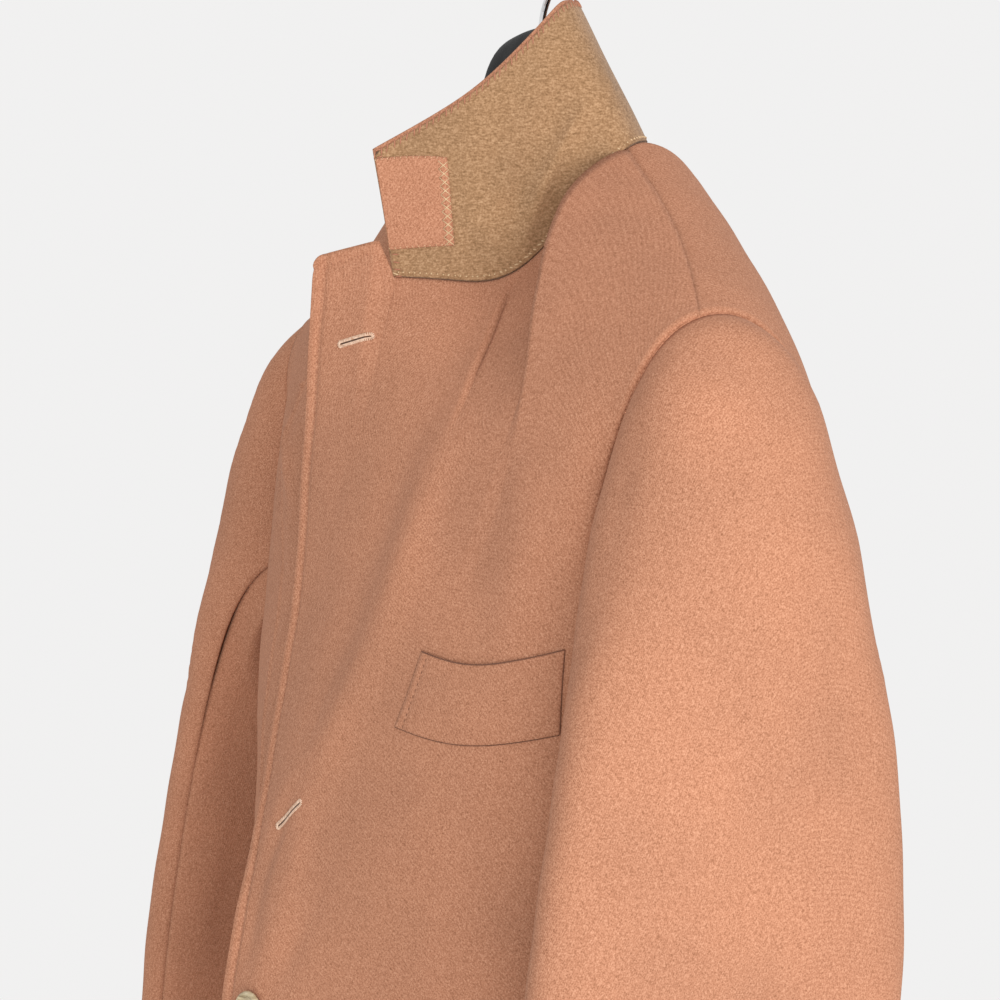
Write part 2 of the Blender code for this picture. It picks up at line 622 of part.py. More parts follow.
def tab(cloth):
    """The upper collar's end, turned round the front edge onto the felt."""
    grid = collar_grid(np.linspace(*TAB_ROWS, 7), np.linspace(*TAB_FALL, 7))
    lay("collar_tab", grid, -normals_of(grid), SEAM + FELT, TAB_THICK, cloth)


def button(name, side, share, depth, stand, horn):
    """A turned button with a raised rim, on the outer side of a front."""
    shares = [share - 0.1, share, share + 0.1]
    patch = front_grid(side, [], shares, [depth + 0.3, depth, depth - 0.3], [])
    out = normals_of(patch)[1, 1]
    centre = patch[1, 1]
    if side == "right":
        out, centre = out * [-1, 1, 1], centre * [-1, 1, 1]
    up = np.array([0.0, 0.0, -1.0]) + out[2] * out
    up = up / np.linalg.norm(up)
    across = np.cross(up, out)
    base = CLOTH / 2 + stand
    radius = BUTTON / 2
    turn = np.linspace(0, 2 * math.pi, 28, endpoint=False)
    rings = [centre + out * (base + lift)
             + radius * share * (np.outer(np.cos(turn), across) + np.outer(np.sin(turn), up))
             for share, lift in BUTTON_PROFILE]
    tube(name, rings, horn)


def hanger(plastic, chrome):
    rows = [named(HANGER_COLUMNS, row) for row in HANGER_ROWS]
    rows = [dict(row, x=-row["x"]) for row in rows[:0:-1]] + rows
    turn = np.linspace(0, 2 * math.pi, 20, endpoint=False)
    rings = []
    for row in rows:
        y = row["y"] + row["thick"] / 2 * np.sin(turn)
        h = row["top"] + row["tall"] / 2 * (1 - np.cos(turn))
        rings.append(np.column_stack([np.full(len(turn), row["x"]), y, h]))
    tube("hanger_body", rings, plastic)
    top = -HOOK_TO_NECK - HOOK_WIRE / 2 + HOOK_RADIUS
    angles = np.radians(np.linspace(HOOK_START, HOOK_END, 26))
    circle = np.column_stack([HOOK_RADIUS * np.cos(angles), 0 * angles, top - HOOK_RADIUS * np.sin(angles)])
    start = np.array([0.0, 0.0, HANGER_ROWS[0][2] - SEAM])
    before = circle[0] + np.array([np.sin(angles[0]), 0, np.cos(angles[0])]) * 1.2
    bend = bezier(start, start - np.array([0, 0, 1.3]), before, circle[0], np.linspace(0, 1, 9))[:-1]
    path = np.concatenate([bend, circle])
    tangent = np.gradient(path, axis=0)
    tangent /= np.linalg.norm(tangent, axis=1, keepdims=True)
    side = np.cross(tangent, [0.0, 1.0, 0.0])
    turn = np.linspace(0, 2 * math.pi, 12, endpoint=False)
    rings = [p + HOOK_WIRE / 2 * (np.outer(np.cos(turn), s) + np.outer(np.sin(turn), [0, 1, 0]))
             for p, s in zip(path, side)]
    tube("hanger_hook", rings, chrome)


def main():
    clear_scene()
    cloth = material("rust_cloth", (0.42, 0.17, 0.09), 0.9)
    felt = material("collar_felt", (0.45, 0.27, 0.14), 0.95)
    plastic = material("black_plastic", (0.012, 0.012, 0.013), 0.35)
    horn = material("button_horn", (0.36, 0.29, 0.18), 0.4)
    chrome = material("hook_chrome", (0.75, 0.75, 0.76), 0.15, 1.0)
    pieces = cloth_pieces()
    shell = pieces.pop("collar")
    for name, made in pieces.items():
        wall(name, pull_in(made["grid"], made["seams"]), made["normals"], -CLOTH / 2, CLOTH / 2, cloth)
    grid = pull_in(shell["grid"], shell["seams"], SEAM)
    wall("under_collar", grid, shell["normals"], SEAM / 2, SEAM / 2 + FELT, felt)
    wall("upper_collar", grid, shell["normals"], -SEAM / 2 - COLLAR_CLOTH, -SEAM / 2, cloth)
    welt(cloth)
    tab(cloth)
    for name, placed in BUTTONS.items():
        button(name, *placed, horn)
    hanger(plastic, chrome)


main()
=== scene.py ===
"""The looks of the soft blazer on its hanger: fine cloth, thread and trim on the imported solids.

Each cloth piece is a thin shell with its creases laid on it, through sections worked out as its solid's
are. The collar, the welt, the turned end of the collar, the hanger's neck, the right chest and sleeve head
and the middle button were matched to the photograph afterwards, and lie some millimetres off their solids.
The tailoring tables are in centimetres. A point is (x, y, h), where h is the depth below the neck
point, the top of the shoulder seam at the collar; world() turns it into metres. -Y is the garment's
front and +X is the wearer's left.
"""

import math

import bmesh
import bpy
import numpy as np
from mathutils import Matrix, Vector
from mathutils.bvhtree import BVHTree

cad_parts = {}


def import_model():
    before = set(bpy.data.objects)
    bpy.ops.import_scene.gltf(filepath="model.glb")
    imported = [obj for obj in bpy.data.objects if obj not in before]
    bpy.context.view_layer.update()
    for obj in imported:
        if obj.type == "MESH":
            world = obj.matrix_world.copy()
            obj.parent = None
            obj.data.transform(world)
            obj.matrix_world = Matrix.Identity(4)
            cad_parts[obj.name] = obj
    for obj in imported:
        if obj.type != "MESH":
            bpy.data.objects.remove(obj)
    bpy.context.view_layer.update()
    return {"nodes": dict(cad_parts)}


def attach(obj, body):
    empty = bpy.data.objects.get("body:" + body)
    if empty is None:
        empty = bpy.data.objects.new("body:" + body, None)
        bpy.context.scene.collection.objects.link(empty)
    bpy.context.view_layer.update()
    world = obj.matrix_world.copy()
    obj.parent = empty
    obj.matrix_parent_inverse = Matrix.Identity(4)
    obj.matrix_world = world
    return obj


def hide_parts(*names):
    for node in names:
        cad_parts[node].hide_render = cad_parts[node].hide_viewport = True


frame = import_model()

# ---------------------------------------------------------------- driving sizes, in centimetres
HOOK_TO_NECK = 12.5      # inside top of the hook to the neck point
CLOTH = 0.22             # thickness of the body cloth
COLLAR_CLOTH = 0.16      # thickness of the upper collar
FELT = 0.13              # and of the under collar
SEAM = 0.03              # clear gap between two pieces that are sewn together
ARMHOLE_H = 24.0         # depth at which the armhole leaves the side seams
ARMHOLE_DIP = 2.6        # how far the underarm lies below that
NECK_POINT = (8.0, 0.4, 0.0)
SHOULDER_MID = (14.9, -0.9, 4.0)
SHOULDER_POINT = (20.5, -3.0, 7.7)
CREASE_SOFTNESS = 1.6    # half width of the soft bend at the lapel's roll line
NECK_SLOPE = (0.0, 1.0, -0.3)       # how the cloth crosses the shoulder seam by the neck, going back,
SHOULDER_SLOPE = (0.0, 1.05, -0.3)  # and at the shoulder point
NECK_TURN = 4.0                     # how soon it rises to the neck seam instead
NAPE_SLOPE = (0.0, -0.4, -1.0)      # how it rises to the centre back of the neck

# Half sections of the body, from the hem up. cb: centre back, blade: shoulder blade,
# back and front: the seams of the side panel, side: the widest point.
BODY_COLUMNS = ("h", "cb_y", "blade_y", "back_x", "back_y", "side_x", "side_y", "front_x", "front_y")
BODY_ROWS = (
    (75.0, 6.8, 7.0, 17.4, 5.2, 20.3, -0.8, 19.0, -7.4),
    (73.0, 6.8, 7.0, 17.4, 5.2, 20.2, -0.8, 18.9, -7.4),
    (69.0, 6.7, 6.9, 17.3, 5.1, 20.0, -0.9, 18.8, -7.4),
    (60.0, 6.3, 6.6, 17.0, 4.9, 19.5, -1.0, 18.4, -7.5),
    (50.0, 5.6, 6.1, 16.5, 4.6, 18.8, -1.2, 17.9, -7.6),
    (41.5, 5.2, 5.8, 16.3, 4.5, 18.6, -1.3, 17.6, -7.7),
    (40.0, 5.25, 5.85, 16.35, 4.5, 18.65, -1.3, 17.6, -7.7),
    (38.5, 5.3, 5.9, 16.45, 4.55, 18.75, -1.3, 17.65, -7.7),
    (32.3, 5.8, 6.4, 17.0, 4.8, 19.4, -1.4, 17.8, -7.7),
    (27.2, 6.3, 6.8, 17.9, 4.9, 20.2, -1.5, 17.9, -7.6),
    (21.3, 6.5, 7.0, 18.6, 4.8, 20.6, -1.5, 17.9, -7.2),
    (13.7, 6.1, 6.4, 19.6, 3.8, 20.8, -1.4, 18.6, -6.1),
)
# The fronts, a row for each row above. chest: halfway from the side panel's seam to the
# roll line, edge: the front edge, fold: from 0, open, to 1, turned back on the chest.
FRONT_COLUMNS = ("chest_y", "roll_x", "roll_y", "edge_x", "edge_y", "fold")
FRONT_ROWS = {
    "left": (
        (-11.6, 12.0, -13.2, 8.6, -14.0, 0.0),
        (-12.1, 8.5, -13.9, 4.6, -14.6, 0.0),
        (-12.5, 5.5, -14.5, 1.8, -15.0, 0.0),
        (-12.8, 3.0, -15.1, -0.5, -15.5, 0.0),
        (-13.0, 1.6, -15.5, -1.6, -16.0, 0.0),
        (-12.9, 1.0, -15.4, -2.0, -16.2, 0.0),
        (-12.8, 1.0, -15.3, -2.0, -16.0, 0.0),
        (-12.7, 1.0, -15.1, -2.1, -15.7, 0.0),
        (-12.0, 1.3, -14.1, -2.5, -14.1, 0.0),
        (-10.9, 3.4, -12.7, -3.3, -12.8, 0.0),
        (-9.6, 5.6, -11.0, -4.0, -11.5, 0.0),
        (-7.9, 8.6, -9.1, -3.2, -11.2, 0.0),
    ),
    "right": (
        (-11.5, 10.4, -13.3, 8.6, -13.6, 0.0),
        (-12.0, 6.6, -13.8, 4.6, -14.0, 0.0),
        (-12.2, 3.6, -14.2, 1.8, -14.4, 0.0),
        (-12.4, 1.0, -14.5, -0.5, -14.6, 0.0),
        (-12.6, -0.4, -14.5, -1.6, -14.6, 0.0),
        (-12.5, -1.0, -14.3, -2.0, -14.4, 0.0),
        (-12.4, -0.6, -13.9, -0.8, -14.7, 0.5),
        (-12.2, -0.2, -13.7, 0.9, -14.3, 1.0),
        (-11.7, 1.3, -12.8, 4.2, -13.3, 1.0),
        (-10.8, 2.3, -11.3, 6.8, -11.9, 1.0),
        (-9.5, 3.1, -9.6, 8.7, -10.3, 1.0),
        (-7.4, 4.0, -6.6, 11.4, -8.8, 1.0),
    ),
}
LAPEL_CORNER = {"left": (-2.0, -11.2, 4.9), "right": (11.8, -7.9, 11.2)}
NOTCH = {"left": (0.6, -9.0, 4.2), "right": (9.6, -7.5, 9.8)}
ROLL_STEP = 0.5          # the section's last stretch, which gives its direction at the roll line
LAPEL_ROLL = 1.4         # how far a folded lapel stands off before it turns back
LAPEL_RETURN = (-0.55, -0.18)  # the way in which it then comes to its edge, as shares of its width

# Where the stations lie across a section, as rough lengths from the centre back.
KNOTS = (0.0, 9.0, 19.0, 25.5, 32.5, 41.0, 47.6, 49.2)
NECK_STATION = 7.5       # where the back's neck seam meets its shoulder seam
GORGE_END = 0.6          # how far across the lapel the collar reaches
NOTCH_START = 0.66       # and where the lapel's own top edge starts
STATIONS = {"back": 19.0, "front": 32.5, "neck": 42.2, "roll": 49.2}

# The collar, a row for each section from the left front end round the back to the right:
# the neck seam, the outer edge, and how far the bend between them is pulled up.
COLLAR_COLUMNS = ("neck_x", "neck_y", "neck_h", "edge_x", "edge_y", "edge_h", "rise")
COLLAR_ROWS = {
    "left end": (0.9, -8.3, 5.9, 0.9, -9.4, -0.1, 0.0),
    "left gorge": (3.1, -6.3, 6.1, 2.8, -6.9, -1.8, 0.0),
    "left roll": (5.1, -3.8, 5.6, 4.5, -5.0, -3.5, 0.0),
    "left front": (6.8, -1.1, 2.2, 5.5, -3.0, -5.7, 0.0),
    "left side": (8.0, 0.4, 0.0, 5.3, -1.5, -7.0, 0.0),
    "left back": (5.4, 2.8, -0.4, 3.2, 0.1, -7.3, 0.0),
    "centre back": (0.0, 3.9, -0.3, 0.0, 1.9, -6.9, 0.3),
    "right back": (-5.4, 2.8, -0.4, -5.8, 5.8, -2.0, 4.0),
    "right side": (-8.0, 0.4, 0.0, -10.9, 1.6, 0.7, 5.4),
    "right front": (-6.8, -1.1, 2.2, -10.7, -2.9, 2.5, 4.9),
    "right roll": (-5.1, -3.8, 5.6, -10.5, -5.1, 5.0, 3.9),
    "right gorge": (-7.2, -6.0, 7.8, -11.6, -6.4, 6.3, 1.3),
    "right end": (-9.3, -7.4, 9.5, -12.4, -7.0, 6.9, 0.2),
}
BEND_SHARE = 0.2         # how near to the neck seam that bend is
# Rows of one side of it, counted from its end: at the roll line, at the neck point, centre back.
ROLL_ROW, NECK_ROW, CENTRE_ROW = 2, 4, 6

# Sleeve rings below the armhole: the centre of each sleeve, half width front to back, half
# thickness, and how much lower the ring's front lies than its back, for each centimetre.
SLEEVE_COLUMNS = ("h", "left_x", "left_y", "right_x", "right_y", "wide", "thick", "tilt")
SLEEVE_ROWS = (
    (28.5, 23.6, -3.3, 22.7, -2.1, 8.1, 2.5, 0.0),
    (35.3, 24.0, -3.95, 23.4, -2.8, 8.8, 2.2, 0.0),
    (45.0, 24.3, -4.8, 24.0, -4.4, 8.4, 2.2, 0.05),
    (57.0, 24.4, -6.6, 24.2, -6.2, 7.5, 2.3, 0.12),
    (68.0, 24.3, -8.8, 24.2, -8.4, 6.7, 2.2, 0.18),
)
RING_POWER = 2.4         # the rings' roundness: 2 is an ellipse, and more is squarer
RING_POINTS = 361        # of the loop on which their points are found
CAP_DROP = 0.2           # how steeply the sleeve leaves the shoulder
UNDER_DROP = 0.5         # how much more steeply it leaves the underarm
UNDER_TUCK = 0.2         # and how much less it swells outwards there
CAP_PUSH = 0.8           # how full its cap is
FRONT_FLARE = 0.9        # how far it swells to the front there
BACK_FLARE = -0.15       # and to the back

BUTTON = 2.0             # diameter
# Its profile, from the back: share of the radius, and height in centimetres.
BUTTON_PROFILE = ((0.62, 0.0), (0.9, 0.05), (1.0, 0.16), (0.97, 0.28), (0.9, 0.36), (0.8, 0.33),
                  (0.7, 0.24), (0.35, 0.22))

# The breast pocket's welt: front stations of its ends, and depths of its corners and middle.
WELT_ENDS = (33.2, 44.5)
WELT_TOP = (21.9, 23.0, 22.8)
WELT_BOTTOM = (25.5, 26.5, 26.3)
WELT_LEAN = -0.1         # how far its top is shifted outwards
WELT_STAND = 0.07        # how far it stands up from the chest between its edges
WELT_ROUND = 0.16        # how soft those edges are
WELT_SINK = 0.03         # how deep its stitches pull it in
WELT_BURIED = 0.04       # how deep its cloth starts below the chest's outside,
WELT_OVER = 0.06         # and how far it comes out of it
# The patch of the chest that it is laid on: points across and down, and how far it goes beyond
# the welt before its first end, past its second one, and up and down.
WELT_PATCH = (60, 40)
WELT_MARGINS = (1.0, 0.2, 0.3)
# The end of the upper collar, turned to the felt side: collar rows of its edges and, at each of
# them, the shares of the fall where it starts and stops.
TAB_ROWS = (0.02, 1.1)
TAB_START = (0.355, 0.345)
TAB_STOP = (0.95, 0.81)
TAB_THICK = 0.12
TAB_SINK = 0.05          # how far its edges lie in
TAB_ROUND = 0.12         # and how soft they are
# Each button: the front it lies on, the share of the way from roll line to edge, the depth and
# the clear height under it.
BUTTONS = {
    "button_top": ("right", 0.72, 30.8, 0.12),
    "button_middle": ("left", 0.2, 40.8, 0.04),
    "button_bottom": ("right", 0.0, 51.1, 0.05),
}

# ---------------------------------------------------------------- stops of the fine grids
SHOULDER_CELLS = 28
NECK_CELLS = 32          # in each eighth of the collar, so that both sides of its seam agree
SIDE_CELLS = 32
LAPEL_TOP_CELLS = 20
WELT_CELLS = (120, 40)   # across and up
TAB_CELLS = 40
LAPEL_TOP_CROWD = 1.6    # how much closer its cells get towards the corner
SOLID_SIDE_CELLS = 4     # the solids' own cells across the side panel
CELL = 0.36              # down the body, in centimetres; the other steps are shares of a length
TOP_STEP = 0.025         # from the chest to the shoulder
CAP_STEP = 0.022         # down the sleeve's cap
ARM_STEP = 0.009         # and from there to the cuff
FALL_STEP = 0.02         # from the collar's neck seam to its free edge
HEM_TO_ARMHOLE = (75.0, 73.8, 72.0, 69.0, 60.0, 50.0, 45.5, 41.2, 38.0, 33.0, 27.2, 24.0)
ARMHOLE_STOPS = (24.0, 21.3, 18.6, 16.0, 13.7)
TOP_STOPS = (0.0, 0.3, 0.6, 0.83, 1.0)
INSEAM_DEPTH = 21.3      # where the sleeve's two seams meet the armhole
HINDARM_DEPTH = 18.6


def finer(stops, step):
    """The stops with others between them, no further apart than the step."""
    made = [stops[0]]
    for low, high in zip(stops, stops[1:]):
        count = math.ceil(abs(high - low) / step - 1e-6)
        made += [low + (high - low) * i / count for i in range(1, count)] + [high]
    return tuple(made)


ROW_DEPTHS = finer(HEM_TO_ARMHOLE, CELL)
ARMHOLE_DEPTHS = finer(ARMHOLE_STOPS, CELL)[1:]
TOP_SHARES = finer(TOP_STOPS, TOP_STEP)[1:]
CAP_STOPS = finer((0.0, 1.0), CAP_STEP)[:-1]
ARM_STOPS = finer((0.0, 1.0), ARM_STEP)
FALL_STOPS = finer((0.0, 1.0), FALL_STEP)


def world(points):
    """Tailoring points (x, y, h) in centimetres as (x, y, z) in metres below the hook."""
    points = np.asarray(points, float)
    return np.stack([points[..., 0], points[..., 1], -HOOK_TO_NECK - points[..., 2]], -1) / 100


def spline(knots, values, start=None, end=None):
    """A cubic spline through the values; an end without a slope is left free to straighten."""
    knots = np.asarray(knots, float)
    values = np.asarray(values, float)
    n = len(knots)
    steps = np.diff(knots)
    rises = np.diff(values, axis=0) / steps[:, None]
    matrix = np.zeros((n, n))
    right = np.zeros_like(values)
    for i in range(1, n - 1):
        matrix[i, i - 1 : i + 2] = steps[i - 1], 2 * (steps[i - 1] + steps[i]), steps[i]
        right[i] = 6 * (rises[i] - rises[i - 1])
    if start is None:
        matrix[0, 0] = 1
    else:
        matrix[0, :2] = 2 * steps[0], steps[0]
        right[0] = 6 * (rises[0] - start)
    if end is None:
        matrix[-1, -1] = 1
    else:
        matrix[-1, -2:] = steps[-1], 2 * steps[-1]
        right[-1] = 6 * (end - rises[-1])
    bends = np.linalg.solve(matrix, right)

    def at(x):
        """The curve's points at the places x."""
        x = np.atleast_1d(np.asarray(x, float))
        i = np.clip(np.searchsorted(knots, x) - 1, 0, n - 2)
        step = steps[i][:, None]
        a = (knots[i + 1] - x)[:, None] / step
        b = 1 - a
        curve = (a**3 - a) * bends[i] + (b**3 - b) * bends[i + 1]
        return a * values[i] + b * values[i + 1] + curve * step**2 / 6

    return at


def lengths(points):
    """The distance of every point of a row from its first, along the row."""
    return np.concatenate([[0], np.cumsum(np.linalg.norm(np.diff(points, axis=0), axis=1))])


def bell(distance, reach, power=2):
    """1 at no distance, falling softly to nothing beyond the reach."""
    return np.exp(-((distance / reach) ** power))


def bezier(p0, p1, p2, p3, t):
    """Points of a cubic curve; each point may be an array of points."""
    t = np.asarray(t, float)[..., None]
    return (1 - t) ** 3 * p0 + 3 * (1 - t) ** 2 * t * p1 + 3 * (1 - t) * t**2 * p2 + t**3 * p3


def named(columns, row):
    """A row of a table as a dictionary."""
    return dict(zip(columns, row))


BODY = [named(BODY_COLUMNS, row) for row in BODY_ROWS]
FRONTS = {side: [named(FRONT_COLUMNS, row) for row in rows] for side, rows in FRONT_ROWS.items()}
COLLAR = {name: named(COLLAR_COLUMNS, row) for name, row in COLLAR_ROWS.items()}
SLEEVE = [named(SLEEVE_COLUMNS, row) for row in SLEEVE_ROWS]


# ---------------------------------------------------------------- the body's sections
def half_section(index, side):
    """A spline across one body section, from centre back to roll line, in mirrored x."""
    row = BODY[index]
    front = FRONTS[side][index]
    chest = np.array([(row["front_x"] + front["roll_x"]) / 2, front["chest_y"]])
    roll = np.array([front["roll_x"], front["roll_y"]])
    before = roll + (chest - roll) * CREASE_SOFTNESS / np.linalg.norm(chest - roll)
    points = [
        (0.0, row["cb_y"]), (0.5 * row["back_x"], row["blade_y"]), (row["back_x"], row["back_y"]),
        (row["side_x"], row["side_y"]), (row["front_x"], row["front_y"]), chest, before, roll,
    ]
    return spline(KNOTS, points, start=np.array([1.0, 0.0]))


def section_points(index, side, across, lapel):
    """Points of one section: `across` holds station values, `lapel` shares of the lapel."""
    front = FRONTS[side][index]
    section = half_section(index, side)
    body = section(across)
    roll = section(STATIONS["roll"])[0]
    ahead = roll - section(STATIONS["roll"] - ROLL_STEP)[0]
    ahead = ahead / np.linalg.norm(ahead)
    end = np.array([front["edge_x"], front["edge_y"]])
    fold = front["fold"]
    wide = np.linalg.norm(end - roll)
    out = ahead * ((1 - fold) * wide / 3 + fold * min(wide, LAPEL_ROLL))
    back = (1 - fold) * (roll - end) / 3 + fold * wide * np.array(LAPEL_RETURN)
    strip = bezier(roll, roll + out, end + back, end, lapel)
    points = np.concatenate([body, strip])
    return np.column_stack([points, np.full(len(points), BODY[index]["h"])])


def neck_line(along):
    """The neck seam: `along` counts the collar's rows from the left end to the right end."""
    rows = [[row["neck_x"], row["neck_y"], row["neck_h"]] for row in COLLAR.values()]
    return spline(np.arange(len(rows)), rows)(along)


def side_neck(side, along):
    """The neck seam of one side, in mirrored x; `along` counts the rows from that side's end."""
    point = neck_line(along if side == "left" else len(COLLAR) - 1 - along)[0]
    return point * np.array([1 if side == "left" else -1, 1, 1])


def shoulder_line(out):
    """The shoulder seam, from 0 at the neck point to 1 at the shoulder point."""
    return spline([0.0, 0.5, 1.0], [NECK_POINT, SHOULDER_MID, SHOULDER_POINT])(out)[0]


def shoulder_slope(out):
    """The direction in which the cloth crosses the shoulder seam, going back."""
    return (1 - out) * np.array(NECK_SLOPE) + out * np.array(SHOULDER_SLOPE)


def neck_share(u):
    """From 0 at the neck point to 1 where the neck seam meets the roll line."""
    return (u - STATIONS["neck"]) / (STATIONS["roll"] - STATIONS["neck"])


def front_share(u):
    """From 0 at the neck point to 1 at the front's shoulder point."""
    return (STATIONS["neck"] - u) / (STATIONS["neck"] - STATIONS["front"])


def back_share(u):
    """From 0 where the back's neck seam ends to 1 at its shoulder point."""
    return (u - NECK_STATION) / (STATIONS["back"] - NECK_STATION)


def side_share(u):
    """From 0 at the side panel's back seam to 1 at its front seam."""
    return (u - STATIONS["back"]) / (STATIONS["front"] - STATIONS["back"])


def front_top(side, across, lapel):
    """The front panel's upper edge: shoulder seam, neck seam, gorge, notch and lapel top."""
    points = []
    for u in across:
        if u <= STATIONS["neck"]:
            points.append(shoulder_line(front_share(u)))
        else:
            points.append(side_neck(side, NECK_ROW - (NECK_ROW - ROLL_ROW) * neck_share(u)))
    notch = np.array(NOTCH[side])
    corner = np.array(LAPEL_CORNER[side])
    for w in lapel:
        if w <= GORGE_END:
            points.append(side_neck(side, ROLL_ROW - ROLL_ROW * w / GORGE_END))
        else:
            points.append(notch + (corner - notch) * (w - NOTCH_START) / (1 - NOTCH_START))
    return np.array(points)


def back_top(side, across):
    """The back panel's upper edge: neck seam from the centre back, then the shoulder seam."""
    points = []
    for u in across:
        if u >= NECK_STATION:
            points.append(shoulder_line(back_share(u)))
        else:
            points.append(side_neck(side, CENTRE_ROW - (CENTRE_ROW - NECK_ROW) * u / NECK_STATION))
    return np.array(points)


def panel(side, across, lapel, tops, slopes, depths, shares):
    """A grid of points: one row for each depth, then one for each share of the way to the top."""
    rows = np.array([section_points(i, side, across, lapel) for i in range(len(BODY))])
    top_row = BODY[-1]["h"]
    grid = []
    for j in range(rows.shape[1]):
        column = np.vstack([rows[:, j], tops[j]])
        reach = np.linalg.norm(tops[j] - rows[-1, j])
        knots = [-row["h"] for row in BODY] + [reach - top_row]
        curve = spline(knots, column, end=slopes[j])
        stops = [-depth for depth in depths] + [share * reach - top_row for share in shares]
        grid.append(curve(stops))
    return np.array(grid).transpose(1, 0, 2)


def front_grid(side, across, lapel, depths, shares):
    """The front panel, with its lapel."""
    tops = front_top(side, across, lapel)
    chest = section_points(len(BODY) - 1, side, across, [])
    slopes = []
    for u, low, top in zip(across, chest, tops):
        turn = np.clip(NECK_TURN * neck_share(u), 0, 1)
        rise = (top - low) / np.linalg.norm(top - low)
        slopes.append((1 - turn) * shoulder_slope(max(0.0, front_share(u))) + turn * rise)
    return panel(side, across, lapel, tops, slopes + [None] * len(lapel), depths, shares)


def back_grid(side, across, depths, shares):
    """The back panel."""
    slopes = []
    for u in across:
        turn = min(1.0, u / NECK_STATION)
        slopes.append((1 - turn) * np.array(NAPE_SLOPE) - turn * shoulder_slope(max(0.0, back_share(u))))
    return panel(side, across, [], back_top(side, across), slopes, depths, shares)


def armhole_depth(u):
    """How deep the armhole lies where it crosses the side panel."""
    return ARMHOLE_H + ARMHOLE_DIP * math.sin(math.pi * side_share(u))


def side_grid(side, across, depths):
    """The side panel; each of its columns stops at the armhole."""
    columns = []
    for u in across:
        turn = side_share(u)
        share = (armhole_depth(u) - depths[0]) / (depths[-1] - depths[0])
        own = [depths[0] + (depth - depths[0]) * share for depth in depths]
        slope = shoulder_slope(1) * (2 * turn - 1) - np.array([0.0, 0.0, math.sin(math.pi * turn)])
        columns.append(panel(side, [u], [], [np.array(SHOULDER_POINT)], [slope], own, [])[:, 0])
    return np.array(columns).transpose(1, 0, 2)


# ---------------------------------------------------------------- the sleeves
def ring(row, side, shares):
    """Points round one sleeve ring, evenly spaced from its outermost point by the front."""
    turn = np.linspace(0, 2 * math.pi, RING_POINTS)
    power = 2 / RING_POWER
    x = row[side + "_x"] + row["thick"] * np.sign(np.cos(turn)) * np.abs(np.cos(turn)) ** power
    y = row[side + "_y"] - row["wide"] * np.sign(np.sin(turn)) * np.abs(np.sin(turn)) ** power
    h = row["h"] - row["tilt"] * (y - row[side + "_y"])
    loop = np.column_stack([x, y, h])
    length = lengths(loop)
    at = np.asarray(shares) * length[-1]
    return np.column_stack([np.interp(at, length, loop[:, k]) for k in range(3)])


def loop_shares(loop):
    """How far round a closed loop each of its points lies, from 0 at the first."""
    length = lengths(np.vstack([loop, loop[:1]]))
    return length[:-1] / length[-1]


def sleeve_grid(loop, centre, side, cap_stops, stops):
    """Rows of points from the armhole loop down to the cuff, a column for each loop point."""
    shares = loop_shares(loop)
    rings = [ring(row, side, shares) for row in SLEEVE]
    columns = []
    for i, start in enumerate(loop):
        radial = start - centre
        radial = radial / np.linalg.norm(radial)
        flare = FRONT_FLARE if radial[1] < 0 else BACK_FLARE
        below = max(0.0, radial[2])
        slope = np.array([1.0 - UNDER_TUCK * below, flare * radial[1], CAP_DROP + UNDER_DROP * below])
        slope = CAP_PUSH * slope / np.linalg.norm(slope)
        points = [start] + [r[i] for r in rings]
        knots = lengths(points)
        curve = spline(knots, points, start=slope)
        cap = [knots[1] * stop for stop in cap_stops]
        rest = [knots[1] + (knots[-1] - knots[1]) * stop for stop in stops]
        columns.append(curve(cap + rest))
    return np.array(columns).transpose(1, 0, 2)


# ---------------------------------------------------------------- the collar
def collar_grid(along, across):
    """The collar's middle surface: `along` counts the rows, `across` runs from neck to edge."""
    rows = list(COLLAR.values())
    neck = neck_line(np.arange(len(rows)))
    edge = np.array([[row["edge_x"], row["edge_y"], row["edge_h"]] for row in rows])
    bend = neck + BEND_SHARE * (edge - neck) - np.array([[0, 0, row["rise"]] for row in rows])
    bends = spline(np.arange(len(rows)), bend)(along)
    edges = spline(np.arange(len(rows)), edge)(along)
    necks = neck_line(along)
    parts = (necks, (necks + 2 * bends) / 3, (edges + 2 * bends) / 3, edges)
    return np.array([bezier(*parts, np.full(len(along), t)) for t in across])


# ---------------------------------------------------------------- walls
def normals_of(grid, closed=False):
    """Unit normals of a grid of points; a closed grid's last column repeats its first."""
    across = np.gradient(grid, axis=1)
    if closed:
        across[:, 0] = across[:, -1] = (grid[:, 1] - grid[:, -2]) / 2
    normal = np.cross(across, np.gradient(grid, axis=0))
    return normal / np.linalg.norm(normal, axis=-1, keepdims=True)


SAME_POINT = 50          # points that agree when rounded to a fiftieth of a centimetre are one


def share_normals(pieces):
    """Gives the points that pieces have in common one normal, so that their rims match."""
    found = {}
    for piece in pieces:
        for at in np.ndindex(piece["grid"].shape[:2]):
            key = tuple(np.round(piece["grid"][at] * SAME_POINT).astype(int))
            found.setdefault(key, []).append((piece, at))
    for group in found.values():
        total = sum(piece["normals"][at] for piece, at in group)
        for piece, at in group:
            piece["normals"][at] = total / np.linalg.norm(total)


def pull_in(grid, side, distance):
    """Moves the first or the last row of a grid inwards along its surface."""
    moved = grid.copy()
    rows = moved if side == "first" else moved[::-1]
    step = rows[1] - rows[0]
    rows[0] += step / np.linalg.norm(step, axis=-1, keepdims=True) * distance
    return moved


